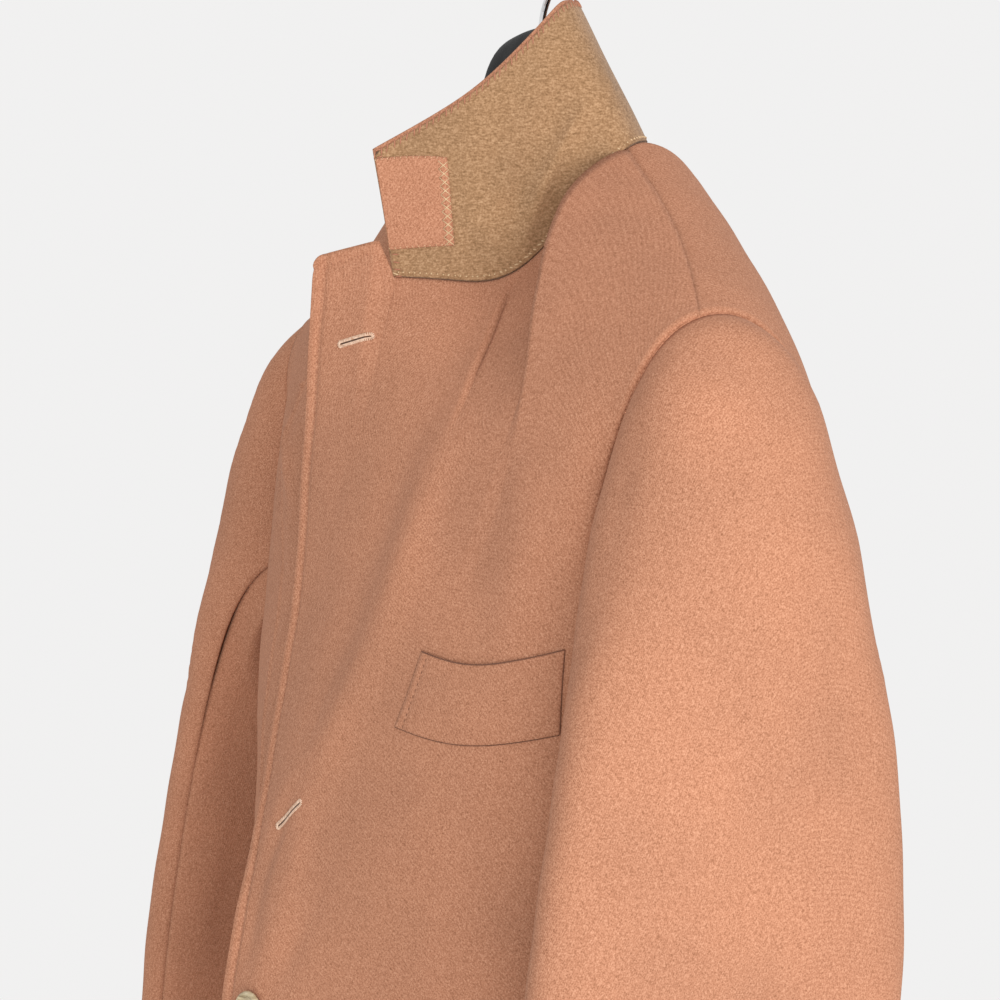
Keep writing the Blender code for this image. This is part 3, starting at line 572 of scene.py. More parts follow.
# ---------------------------------------------------------------- middle surfaces of the cloth
def armhole(side, depths, shares, cells):
    """The armhole, from the shoulder point down the front, under the arm and up the back."""
    front = front_grid(side, [STATIONS["front"]], [], depths, shares)[::-1, 0]
    across = np.linspace(STATIONS["back"], STATIONS["front"], cells + 1)
    middle = side_grid(side, across, [ROW_DEPTHS[0], ARMHOLE_H])[-1, ::-1]
    back = back_grid(side, [STATIONS["back"]], depths, shares)[:-1, 0]
    return np.concatenate([front, middle, back])


def surface(name, grid, normals, side="left"):
    """A named middle surface, turned over to its own side."""
    mirror = np.array([1 if side == "left" else -1, 1, 1])
    return {"name": name, "grid": grid * mirror, "normals": normals * mirror}


def body_surfaces(side):
    """The front, side and back panels and the sleeve pieces of one side."""
    depths = list(ROW_DEPTHS) + list(ARMHOLE_DEPTHS)
    shoulder = np.linspace(1, 0, SHOULDER_CELLS + 1)
    neck = np.linspace(0, 1, NECK_CELLS + 1)[1:]
    wide = STATIONS["neck"] - STATIONS["front"]
    front_stops = np.concatenate([STATIONS["neck"] - wide * shoulder,
                                  STATIONS["neck"] + (STATIONS["roll"] - STATIONS["neck"]) * neck])
    lapel_top = 1 - (1 - NOTCH_START) * np.linspace(1, 0, LAPEL_TOP_CELLS + 1) ** LAPEL_TOP_CROWD
    lapel_stops = np.concatenate([GORGE_END * neck, lapel_top])
    wide = STATIONS["back"] - NECK_STATION
    back_stops = np.concatenate([NECK_STATION * (1 - neck[::-1]), NECK_STATION + wide * shoulder[::-1]])
    side_stops = np.linspace(STATIONS["back"], STATIONS["front"], SIDE_CELLS + 1)
    front = front_grid(side, front_stops, lapel_stops, depths, TOP_SHARES)
    middle = side_grid(side, side_stops, list(ROW_DEPTHS))
    back = back_grid(side, back_stops, depths, TOP_SHARES)
    loop = armhole(side, ARMHOLE_DEPTHS, TOP_SHARES, SIDE_CELLS)
    centre = armhole(side, ARMHOLE_STOPS[1:], TOP_STOPS[1:], SOLID_SIDE_CELLS).mean(axis=0)
    grid = sleeve_grid(loop, centre, side, CAP_STOPS, ARM_STOPS)
    closed = np.concatenate([grid, grid[:, :1]], axis=1)
    normals = -normals_of(closed, closed=True)
    # The points of the loop at which the sleeve's two seams start.
    count = len(loop)
    before = len(TOP_SHARES) + len(ARMHOLE_DEPTHS) - 1
    inseam = before - ARMHOLE_DEPTHS.index(INSEAM_DEPTH)
    hindarm = count - before + ARMHOLE_DEPTHS.index(HINDARM_DEPTH)
    top = [i % count for i in range(hindarm, count + inseam + 1)]
    under = list(range(inseam, hindarm + 1))
    return [
        surface(f"front_{side}", front, normals_of(front), side),
        surface(f"side_{side}", middle, normals_of(middle), side),
        surface(f"back_{side}", back, normals_of(back), side),
        surface(f"sleeve_top_{side}", grid[:, top], normals[:, top], side),
        surface(f"sleeve_under_{side}", grid[:, under], normals[:, under], side),
    ]


def collar_surface():
    """The whole collar, of which both layers are made."""
    along = np.linspace(0, len(COLLAR) - 1, (len(COLLAR) - 1) * NECK_CELLS // 2 + 1)
    grid = collar_grid(along, FALL_STOPS)
    return surface("collar", grid, -normals_of(grid))


# ---------------------------------------------------------------- creases
# Soft folds laid on the cloth. Each runs through three points, `wide` is its half width
# and `high` how far it stands out, or lies in where it is negative.
CREASE_POINTS = 48       # points of its path
CREASE_START = 0.06      # where on a half wave its height starts, at one end of the path,
CREASE_SPAN = 0.88       # and how much of the half wave it runs through
CREASE_BEAT = 0.2        # size of the slight beat in its height,
CREASE_BEATS = 11        # and the beat's pace along the path
UNEVEN = 0.025           # size of the slight unevenness of hanging cloth
UNEVEN_WAVES = (         # direction and pace, start and share of each of its waves
    ((0.55, 0.31, 0.42), 0.0, 1.0),
    ((-0.37, 0.62, 0.71), 2.0, 1.0),
    ((0.9, -0.8, 1.3), 0.7, 0.6),
)
CREASE_COLUMNS = ("on", "x1", "y1", "h1", "x2", "y2", "h2", "x3", "y3", "h3", "wide", "high")
CREASES = (
    # the lapel's roll, running out into the pull of the fastened button
    ("front_left", 2.6, -13.3, 28.8, 0.0, -14.3, 33.2, -0.6, -15.7, 38.5, 0.7, -0.24),
    ("front_left", 3.2, -13.7, 30.5, 1.7, -14.7, 35.0, 0.6, -15.6, 39.5, 0.8, 0.16),
    ("front_left", 4.6, -13.7, 34.0, 2.8, -14.7, 37.5, 1.4, -15.5, 40.5, 0.8, -0.14),
    ("front_left", 6.0, -13.0, 47.5, 3.0, -14.9, 44.5, 0.9, -15.7, 42.5, 1.0, -0.16),
    ("front_left", 9.5, -11.9, 40.0, 5.5, -13.9, 40.5, 1.4, -15.5, 41.3, 1.1, -0.12),
    ("front_right", -9.5, -11.4, 39.5, -5.0, -13.4, 40.4, -1.6, -14.2, 41.3, 1.1, -0.14),
    # chest and armhole
    ("front_left", 9.0, -7.6, 11.0, 6.1, -11.0, 20.8, 2.0, -13.7, 30.5, 1.3, 0.3),
    ("front_left", 6.3, -8.4, 12.5, 3.6, -11.6, 20.5, 0.9, -13.8, 28.5, 1.5, -0.22),
    ("front_left", 5.8, -3.6, 5.2, 7.7, -5.9, 8.5, 8.2, -8.0, 11.8, 1.1, 0.1),
    ("front_right", -11.0, -12.0, 20.0, -12.5, -12.4, 30.0, -13.0, -12.3, 41.0, 4.5, -0.7),
    ("front_right", -12.5, -8.3, 12.0, -10.5, -9.2, 14.5, -7.6, -9.9, 17.5, 0.5, -0.3),
    ("front_left", 15.8, -6.4, 14.0, 16.4, -7.6, 19.0, 16.9, -8.1, 24.5, 1.1, -0.2),
    ("front_left", 13.6, -6.8, 12.0, 14.2, -8.4, 17.0, 14.6, -9.3, 23.0, 1.2, 0.1),
    ("front_right", -19.0, -6.4, 12.0, -17.3, -8.0, 15.5, -15.6, -8.9, 19.0, 0.55, -0.3),
    ("front_right", -17.2, -6.9, 11.5, -15.6, -8.4, 15.5, -14.2, -9.3, 20.0, 0.9, 0.12),
    ("front_left", 11.6, -3.4, 4.6, 9.6, -5.2, 7.6, 9.6, -7.4, 11.5, 1.6, -0.1),
    # sleeve heads, which fall in under the soft shoulders
    ("sleeve_top_left", 20.4, -5.4, 9.6, 22.8, -3.2, 9.2, 24.6, 1.0, 12.8, 1.7, -0.26),
    ("sleeve_top_left", 21.6, -6.6, 11.5, 21.9, -8.2, 17.0, 21.6, -9.6, 24.0, 0.9, -0.12),
    ("sleeve_top_right", -20.4, -5.4, 9.6, -22.8, -3.2, 9.2, -24.2, 1.0, 12.8, 1.6, -0.24),
    ("sleeve_top_right", -21.2, -6.9, 12.0, -21.4, -8.3, 17.0, -21.0, -8.8, 23.0, 0.9, -0.14),
    ("sleeve_top_right", -21.5, -7.2, 9.5, -22.2, -9.0, 18.0, -22.4, -10.0, 29.0, 3.0, 0.9),
    ("sleeve_top_left", 23.0, 2.4, 11.0, 24.0, 4.4, 16.5, 24.2, 5.2, 23.0, 2.4, -0.45),
    # sleeves
    ("sleeve_top_left", 25.2, 0.4, 17.0, 26.2, 1.2, 24.0, 26.0, 2.4, 32.0, 1.3, -0.14),
    ("sleeve_top_left", 26.2, -4.6, 40.0, 26.4, -2.2, 42.5, 25.8, 0.8, 43.5, 1.2, -0.14),
    ("sleeve_top_left", 26.2, -7.8, 44.0, 26.5, -5.0, 46.5, 26.0, -1.8, 47.5, 1.1, -0.12),
    ("sleeve_under_left", 22.4, -7.0, 37.0, 22.2, -5.0, 40.0, 22.4, -2.0, 41.0, 1.1, -0.16),
    ("sleeve_top_right", -25.8, -3.0, 38.0, -26.2, -1.4, 41.0, -25.6, 1.6, 42.0, 1.2, -0.14),
    ("sleeve_top_right", -25.8, -6.8, 43.0, -26.3, -4.0, 46.0, -25.8, -1.2, 47.0, 1.1, -0.12),
    ("sleeve_under_right", -21.8, -7.6, 33.0, -21.6, -8.6, 40.0, -21.8, -9.9, 48.0, 0.9, -0.16),
    # back, with the soft drag of a coat on a hanger
    ("back_left", 16.8, 4.4, 12.5, 14.0, 6.2, 17.5, 9.0, 6.9, 21.0, 1.4, -0.16),
    ("back_right", -16.8, 4.4, 12.5, -13.4, 6.3, 18.0, -8.2, 6.9, 22.5, 1.4, -0.16),
    ("back_left", 6.5, 4.6, 1.8, 4.0, 5.4, 3.0, 0.0, 5.6, 3.4, 0.8, -0.12),
    ("back_right", -6.5, 4.6, 1.8, -4.0, 5.4, 3.0, 0.0, 5.6, 3.4, 0.8, -0.12),
    ("back_left", 13.0, 5.6, 36.0, 9.0, 5.9, 39.5, 3.0, 5.4, 41.5, 1.4, -0.14),
    ("back_right", -13.0, 5.6, 35.0, -8.0, 5.9, 39.0, -2.6, 5.4, 41.5, 1.4, -0.14),
    # the raised collar, which still shows the line where it was rolled
    ("collar", 5.3, -3.7, 4.6, 6.1, -2.5, 0.8, 6.6, 0.2, -3.3, 0.4, 0.4),
    ("collar", 4.6, -4.3, 4.4, 5.3, -3.3, 0.4, 5.9, -0.9, -3.9, 0.6, -0.26),
)


def through(first, middle, last, count):
    """Points of the curve through three points."""
    t = np.linspace(0, 1, count)[:, None]
    return first * (1 - t) * (1 - 2 * t) + middle * 4 * t * (1 - t) + last * t * (2 * t - 1)


def crease_lift(name, points):
    """How far the creases and a slight unevenness move the cloth along its normal."""
    flat = points.reshape(-1, 3)
    lift = UNEVEN * sum(share * np.sin(flat @ pace + start) for pace, start, share in UNEVEN_WAVES)
    for row in CREASES:
        crease = named(CREASE_COLUMNS, row)
        if not name.startswith(crease["on"]):
            continue
        ends = [np.array([crease[axis + n] for axis in "xyh"]) for n in "123"]
        path = through(*ends, CREASE_POINTS)
        reach = np.linalg.norm(flat[:, None] - path[None], axis=2)
        nearest = reach.argmin(axis=1)
        t = nearest / (len(path) - 1)
        beat = 1 + CREASE_BEAT * np.sin(CREASE_BEATS * t + crease["h1"])
        fade = np.sin(math.pi * (CREASE_START + CREASE_SPAN * t)) * beat
        near = reach[np.arange(len(flat)), nearest]
        lift += crease["high"] * fade * bell(near, crease["wide"])
    return lift.reshape(points.shape[:-1])


# ---------------------------------------------------------------- edges and seams
SEAM_SINK = 0.03         # how deep a pressed seam lies
SEAM_REACH = 0.3         # and how wide it is on each side
SHOULDER_LAP = 0.06      # how far the body's cloth stands up at the armhole
CAP_SINK = 0.1           # and how far the sleeve's lies in beneath it
ARMHOLE_REACH = 0.4      # how wide each of the two is
CAP_REACH = 1.5
EDGE_LIFT = 0.09         # how far a turned edge stands out
EDGE_WIDE = 0.42         # how wide it is
STITCH_INSET = 0.58      # from an edge to its pick stitches
STITCH_SINK = 0.1        # how deep they pull the cloth in
STITCH_WIDE = 0.17       # and how wide on each side
CORNER_RADIUS = 0.55     # of the lapel's corner
FELT_INSET = 0.2         # from the collar's edge to the edge of its felt
FELT_RIM = 0.02          # how far the rims of felt and tab swell out,
COLLAR_RIM = 0.05        # and the upper collar's


def facing(grid, side):
    """A grid turned so that the named edge is its first row: first, last, start or end."""
    grid = grid if side in ("first", "last") else grid.swapaxes(0, 1)
    return grid[::-1] if side in ("last", "end") else grid


def from_edge(grid, side):
    """The distance of every point from one edge of its grid, along the grid."""
    steps = np.linalg.norm(np.diff(facing(grid, side), axis=0), axis=2)
    length = np.pad(np.cumsum(steps, axis=0), ((1, 0), (0, 0)))
    length = length[::-1] if side in ("last", "end") else length
    return length if side in ("first", "last") else length.T


def seam_sink(distance):
    """How a pressed seam lies in, at a distance from it."""
    return -SEAM_SINK * bell(distance, SEAM_REACH)


def armhole_lap(distance):
    """How the body's cloth stands up towards the armhole."""
    return SHOULDER_LAP * bell(distance, ARMHOLE_REACH)


def turned_edge(distance):
    """How a turned edge stands out, and lies in along its stitches."""
    return (EDGE_LIFT * bell(distance, EDGE_WIDE, 4)
            - STITCH_SINK * bell(distance - STITCH_INSET, STITCH_WIDE))


def edge_lift(made):
    """What seams and turned edges add to a piece's lift."""
    name, grid = made["name"], made["grid"]
    lift = np.zeros(grid.shape[:2])
    rows = len(ROW_DEPTHS)
    if name.startswith("front"):
        lift[:rows] += seam_sink(from_edge(grid, "start"))[:rows]
        lift[rows:] += armhole_lap(from_edge(grid, "start"))[rows:]
        top = seam_sink(from_edge(grid, "last"))
        free = LAPEL_TOP_CELLS + 1
        lift[:, :-free] += top[:, :-free]
        lift += turned_edge(from_edge(grid, "end"))
        lift[:, -free:] += turned_edge(from_edge(grid, "last"))[:, -free:]
    elif name.startswith("side"):
        lift += seam_sink(from_edge(grid, "start")) + seam_sink(from_edge(grid, "end"))
        lift += armhole_lap(from_edge(grid, "last"))
    elif name.startswith("back"):
        lift += seam_sink(from_edge(grid, "start"))
        lift[:rows] += seam_sink(from_edge(grid, "end"))[:rows]
        lift[rows:] += armhole_lap(from_edge(grid, "end"))[rows:]
        lift += seam_sink(from_edge(grid, "last"))
    elif name.startswith("sleeve"):
        lift += seam_sink(from_edge(grid, "start")) + seam_sink(from_edge(grid, "end"))
        lift -= CAP_SINK * bell(from_edge(grid, "first"), CAP_REACH)
    return lift


def round_corner(grid, radius):
    """Rounds the corner between a grid's last row and its last column."""
    ahead, above = from_edge(grid, "end"), from_edge(grid, "last")
    inward = grid[:, -2] - grid[:, -1]
    inward = (inward / np.linalg.norm(inward, axis=1, keepdims=True))[:, None]
    down = grid[-2] - grid[-1]
    down = (down / np.linalg.norm(down, axis=1, keepdims=True))[None]
    near = (ahead < radius) & (above < radius)
    x, y = np.where(near, radius - ahead, 1.0), np.where(near, radius - above, 1.0)
    shrink = np.where(near, np.maximum(x, y) / np.hypot(x, y), 1.0)
    move = inward * (x * (1 - shrink))[..., None] + down * (y * (1 - shrink))[..., None]
    return grid + move * near[..., None]


# ---------------------------------------------------------------- meshes
THREAD_SIDES = 6
THREAD_END = 0.45        # radius of a thread's two ends, as a share of its own
NO_THREAD = (0.31, 0.53, 0.79)  # a direction that no thread follows


def linked(name, mesh, finish):
    """A smooth object in the scene."""
    mesh.materials.append(finish)
    mesh.shade_smooth()
    made = bpy.data.objects.new(name, mesh)
    bpy.context.scene.collection.objects.link(made)
    return made


def solid(name, points, faces, finish):
    """A smooth object from points in centimetres."""
    mesh = bpy.data.meshes.new(name)
    mesh.from_pydata(world(points).tolist(), [], faces)
    return linked(name, mesh, finish)


def turned(name, rings, finish):
    """A body through rings of points, with a flat face at each end."""
    rings = np.array(rings)
    index = np.arange(rings.shape[0] * rings.shape[1]).reshape(rings.shape[:2])
    after = np.roll(index, -1, axis=1)
    faces = np.stack([index[:-1], after[:-1], after[1:], index[1:]], -1).reshape(-1, 4).tolist()
    faces += [index[0][::-1].tolist(), index[-1].tolist()]
    return solid(name, rings.reshape(-1, 3), faces, finish)


def shell(name, grid, normals, low, high, finish, rim=0.0):
    """A closed thin wall between two offsets of a grid, with a rim that may swell outwards.

    Its map is laid out in metres across and down the piece, for the weave.
    """
    rows, columns = grid.shape[:2]
    count = rows * columns
    index = np.arange(count).reshape(rows, columns)
    quads = np.stack([index[:-1, :-1], index[:-1, 1:], index[1:, 1:], index[1:, :-1]], -1).reshape(-1, 4)
    loop = np.concatenate([index[0, :-1], index[:-1, -1], index[-1, :0:-1], index[:0:-1, 0]])
    inner, outer = grid + normals * low, grid + normals * high
    away = np.zeros_like(grid)
    away[0] += grid[0] - grid[1]
    away[-1] += grid[-1] - grid[-2]
    away[:, 0] += grid[:, 0] - grid[:, 1]
    away[:, -1] += grid[:, -1] - grid[:, -2]
    away = away.reshape(-1, 3)[loop]
    away /= np.linalg.norm(away, axis=1, keepdims=True)
    middle = (inner + outer).reshape(-1, 3)[loop] / 2 + away * rim
    points = np.concatenate([inner.reshape(-1, 3), outer.reshape(-1, 3), middle])
    ring = 2 * count + np.arange(len(loop))
    after = np.roll(np.arange(len(loop)), -1)
    faces = np.concatenate([
        quads[:, ::-1], quads + count,
        np.stack([loop, loop[after], ring[after], ring], -1),
        np.stack([ring, ring[after], loop[after] + count, loop + count], -1),
    ])
    mesh = bpy.data.meshes.new(name)
    mesh.from_pydata(world(points).tolist(), [], faces.tolist())
    across = from_edge(grid, "start").reshape(-1) / 100
    down = -from_edge(grid, "first").reshape(-1) / 100
    flat = np.stack([across, down], -1)
    flat = np.concatenate([flat, flat, flat[loop]])
    layer = mesh.uv_layers.new(name="weave")
    layer.data.foreach_set("uv", flat[faces.reshape(-1)].reshape(-1).astype(np.float32))
    shape = bmesh.new()
    shape.from_mesh(mesh)
    if shape.calc_volume(signed=True) < 0:
        bmesh.ops.reverse_faces(shape, faces=shape.faces)
    shape.to_mesh(mesh)
    shape.free()
    return linked(name, mesh, finish)


def tubes(name, paths, radius, finish):
    """One object of many short threads; each path is a row of points in centimetres."""
    sides = THREAD_SIDES
    turn = np.linspace(0, 2 * math.pi, sides, endpoint=False)
    points, faces = [], []
    for path in paths:
        path = np.asarray(path, float)
        tangent = np.gradient(path, axis=0)
        tangent /= np.linalg.norm(tangent, axis=1, keepdims=True)
        side = np.cross(tangent, NO_THREAD)
        side /= np.linalg.norm(side, axis=1, keepdims=True)
        up = np.cross(tangent, side)
        thick = radius * np.ones(len(path))
        thick[[0, -1]] *= THREAD_END
        start = len(points)
        for at, s, u, r in zip(path, side, up, thick):
            points += list(at + r * (np.outer(np.cos(turn), s) + np.outer(np.sin(turn), u)))
        for k in range(len(path) - 1):
            for j in range(sides):
                a, b = start + k * sides + j, start + k * sides + (j + 1) % sides
                faces.append([a, b, b + sides, a + sides])
        faces.append(list(range(start + sides - 1, start - 1, -1)))
        faces.append(list(range(len(points) - sides, len(points))))
    return solid(name, np.array(points), faces, finish)


# ---------------------------------------------------------------- finishes
NOISE_LOW, NOISE_HIGH = 0.3, 0.7  # between these lie nearly all values of a noise
TWILL_PITCH = 0.0022     # metres from one rib of the twill to the next
RIB_WOBBLE = 0.0012      # how far the ribs stray,
RIB_WOBBLES = 60         # and the scale of the noise that leads them
RIB_SHADE = 0.02         # how much they show in the colour
RIB_HEIGHT = 0.18        # and in the bumps, next to the fibres
FIBRE_HEIGHT = 2.2
# Scales of the noises of fibres, clumps or strands of them, broad patches and streaks.
WOOL_FIBRES, WOOL_CLUMPS, WOOL_PATCHES = 1500, 760, 14
FELT_FIBRES, FELT_STRANDS, FELT_PATCHES = 1100, 420, 30
HORN_STREAKS = 160
# Plain finishes: dark and light colour, scale of the mottling, roughness, then metal and gloss.
PLAIN = {
    "thread_tan": ((0.46, 0.31, 0.17), (0.60, 0.42, 0.25), 900, 0.7),
    "thread_rust": ((0.30, 0.12, 0.065), (0.40, 0.17, 0.10), 900, 0.75),
    "thread_silk": ((0.46, 0.27, 0.17), (0.76, 0.56, 0.42), 700, 0.4),
    "slit_shadow": ((0.045, 0.018, 0.01), (0.07, 0.03, 0.016), 500, 0.95),
    # painted shadow: the dark tubes along the welt's mouth and seams, and the colour of its real running
    # stitches
    "seam_shadow": ((0.12, 0.048, 0.026), (0.17, 0.07, 0.04), 500, 0.95),
    "hanger_black": ((0.003, 0.003, 0.0035), (0.007, 0.007, 0.0075), 90, 0.6, 0.0, 0.2),
    "hook_bright": ((0.62, 0.62, 0.63), (0.78, 0.78, 0.79), 120, 0.18, 1.0),
    "pale_floor": ((0.76, 0.76, 0.75), (0.79, 0.79, 0.78), 3.0, 0.9),
}
# Cloth, felt and horn: dark, middle and light colour.
WOOL = ((0.252, 0.106, 0.056), (0.398, 0.18, 0.105), (0.53, 0.272, 0.17))
FELT_SHADES = ((0.185, 0.10, 0.046), (0.295, 0.168, 0.086), (0.43, 0.265, 0.15))
HORN = ((0.20, 0.14, 0.07), (0.42, 0.34, 0.20), (0.60, 0.52, 0.36))


class Nodes:
    """Short hand for making a material's nodes."""

    def __init__(self, name):
        self.material = bpy.data.materials.new(name)
        self.material.use_nodes = True
        self.tree = self.material.node_tree
        self.shader = self.tree.nodes["Principled BSDF"]

    def add(self, kind, **settings):
        """A new node with settings."""
        node = self.tree.nodes.new(kind)
        for key, value in settings.items():
            setattr(node, key, value)
        return node

    def join(self, source, target):
        """Links an output to an input."""
        self.tree.links.new(source, target)

    def work(self, operation, first, second=0.0):
        """The result of one arithmetic operation."""
        node = self.add("ShaderNodeMath", operation=operation)
        for socket, value in zip(node.inputs, (first, second)):
            if isinstance(value, (int, float)):
                socket.default_value = value
            else:
                self.join(value, socket)
        return node.outputs[0]

    def blend(self, first, much, second, little):
        """The sum of two values, each times its own number."""
        return self.work("ADD", self.work("MULTIPLY", first, much), self.work("MULTIPLY", second, little))

    def noise(self, scale, detail=2.0, stretch=None):
        """A noise over the object, from about 0.3 to 0.7."""
        place = self.add("ShaderNodeTexCoord").outputs["Object"]
        if stretch:
            mapping = self.add("ShaderNodeMapping")
            mapping.inputs["Scale"].default_value = stretch
            self.join(place, mapping.inputs["Vector"])
            place = mapping.outputs["Vector"]
        node = self.add("ShaderNodeTexNoise")
        node.inputs["Scale"].default_value = scale
        node.inputs["Detail"].default_value = detail
        self.join(place, node.inputs["Vector"])
        return node.outputs["Fac"]

    def ramp(self, value, stops):
        """Colours for a value; each stop is a place and a colour."""
        node = self.add("ShaderNodeValToRGB")
        elements = node.color_ramp.elements
        while len(elements) < len(stops):
            elements.new(0.5)
        for element, (place, colour) in zip(elements, stops):
            element.position = place
            element.color = (*colour, 1.0)
        self.join(value, node.inputs["Fac"])
        return node.outputs["Color"]

    def mottle(self, colour, scale, dark, light):
        """The colour with paler and darker patches over it."""
        node = self.add("ShaderNodeMix", data_type="RGBA", blend_type="MULTIPLY")
        node.inputs[0].default_value = 1.0
        self.join(colour, node.inputs[6])
        patches = self.ramp(self.noise(scale, 3.0), [(NOISE_LOW, dark), (NOISE_HIGH, light)])
        self.join(patches, node.inputs[7])
        return node.outputs[2]

    def look(self, colour, height, value, strength, distance, low, high, **values):
        """Gives the shader its colour, bumps from the height, and a roughness that the value
        leads from low to high; the other values are set on it as they are."""
        self.join(colour, self.shader.inputs["Base Color"])
        bump = self.add("ShaderNodeBump")
        bump.inputs["Strength"].default_value = strength
        bump.inputs["Distance"].default_value = distance
        self.join(height, bump.inputs["Height"])
        self.join(bump.outputs["Normal"], self.shader.inputs["Normal"])
        rough = self.add("ShaderNodeMapRange")
        for end, noise, given in (("Min", NOISE_LOW, low), ("Max", NOISE_HIGH, high)):
            rough.inputs["From " + end].default_value = noise
            rough.inputs["To " + end].default_value = given
        self.join(value, rough.inputs["Value"])
        self.join(rough.outputs["Result"], self.shader.inputs["Roughness"])
        for key, given in values.items():
            self.shader.inputs[key.replace("_", " ")].default_value = given
        return self.material


def wool(name, dark, middle, light):
    """Brushed wool twill: fibres of mixed shades over fine diagonal ribs."""
    made = Nodes(name)
    weave = made.add("ShaderNodeUVMap", uv_map="weave").outputs["UV"]
    parts = made.add("ShaderNodeSeparateXYZ")
    made.join(weave, parts.inputs["Vector"])
    wobble = made.work("MULTIPLY", made.noise(RIB_WOBBLES), RIB_WOBBLE)
    slant = made.work("ADD", made.work("ADD", parts.outputs["X"], parts.outputs["Y"]), wobble)
    rib = made.work("SINE", made.work("MULTIPLY", slant, 2 * math.pi / TWILL_PITCH))
    value = made.blend(made.noise(WOOL_FIBRES, 3.0), 0.7, made.noise(WOOL_CLUMPS, 3.0), 0.3)
    value = made.work("ADD", value, made.work("MULTIPLY", rib, RIB_SHADE))
    colour = made.ramp(value, [(0.32, dark), (0.5, middle), (0.68, light)])
    colour = made.mottle(colour, WOOL_PATCHES, (0.93, 0.93, 0.93), (1.06, 1.05, 1.04))
    height = made.blend(rib, RIB_HEIGHT, value, FIBRE_HEIGHT)
    made.shader.inputs["Sheen Tint"].default_value = (1.0, 0.82, 0.7, 1.0)
    return made.look(colour, height, value, strength=0.4, distance=0.0003, low=0.98, high=0.86,
                     Sheen_Weight=0.04, Sheen_Roughness=0.45, Specular_IOR_Level=0.12)


def felt_cloth(name, dark, middle, light):
    """Wool felt: long matted strands under short fibres."""
    made = Nodes(name)
    strands = made.noise(FELT_STRANDS, 4.0, stretch=(1.0, 1.0, 2.6))
    value = made.blend(made.noise(FELT_FIBRES, 5.0), 0.5, strands, 0.5)
    colour = made.ramp(value, [(0.34, dark), (0.5, middle), (0.66, light)])
    colour = made.mottle(colour, FELT_PATCHES, (0.9, 0.9, 0.9), (1.07, 1.06, 1.05))
    return made.look(colour, value, value, strength=0.6, distance=0.0006, low=1.0, high=0.9,
                     Sheen_Weight=0.1, Sheen_Roughness=0.5, Specular_IOR_Level=0.15)


def horn_finish(name, dark, middle, light):
    """Polished horn with streaks."""
    made = Nodes(name)
    streaks = made.noise(HORN_STREAKS, 4.0, stretch=(1.0, 1.0, 4.0))
    colour = made.ramp(streaks, [(NOISE_LOW, dark), (0.5, middle), (NOISE_HIGH, light)])
    return made.look(colour, streaks, streaks, strength=0.1, distance=0.0001, low=0.3, high=0.42,
                     Coat_Weight=0.15)


def plain(name, dark, light, scale, roughness, metallic=0.0, specular=0.5):
    """A smooth finish with slight mottling."""
    made = Nodes(name)
    value = made.noise(scale, 3.0)
    colour = made.ramp(value, [(NOISE_LOW, dark), (NOISE_HIGH, light)])
    return made.look(colour, value, value, strength=0.3, distance=0.0001, low=0.9 * roughness,
                     high=1.1 * roughness, Metallic=metallic, Specular_IOR_Level=specular)


def flat_size(points):
    """The width and length in metres of a cut around a piece's grid, and its own area."""
    wide = from_edge(points, "start")[:, -1].max() / 100
    long = from_edge(points, "first")[-1].max() / 100
    first = np.cross(points[1:, :-1] - points[:-1, :-1], points[:-1, 1:] - points[:-1, :-1])
    second = np.cross(points[1:, :-1] - points[1:, 1:], points[:-1, 1:] - points[1:, 1:])
    doubled = np.linalg.norm(first, axis=2).sum() + np.linalg.norm(second, axis=2).sum()
    return (wide, long), doubled / 2 / 100**2


def dress(made, low, high, finish, name, node, rim=0.0):
    """Builds one cloth piece on its solid's form, in place of the solid, which it hides."""
    piece = shell(name, made["lifted"], made["normals"], low, high, finish, rim)
    flat, area = flat_size(made["lifted"])
    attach(piece, "root")
    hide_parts(node)
    return piece


INSIDE = 1.001           # taken off a number of points, it keeps a broken index in the last cell


def sample(points, row, column):
    """Points of a grid at broken row and column numbers."""
    row = np.clip(row, 0, points.shape[0] - INSIDE)
    column = np.clip(column, 0, points.shape[1] - INSIDE)
    r, c = row.astype(int), column.astype(int)
    p, q = (row - r)[..., None], (column - c)[..., None]
    return ((1 - p) * (1 - q) * points[r, c] + (1 - p) * q * points[r, c + 1]
            + p * (1 - q) * points[r + 1, c] + p * q * points[r + 1, c + 1])


def raised(grid, normals, lift):
    """A piece of cloth that lies `lift` above a grid."""
    return {"lifted": grid + normals * lift[..., None], "normals": normals, "grid": grid}


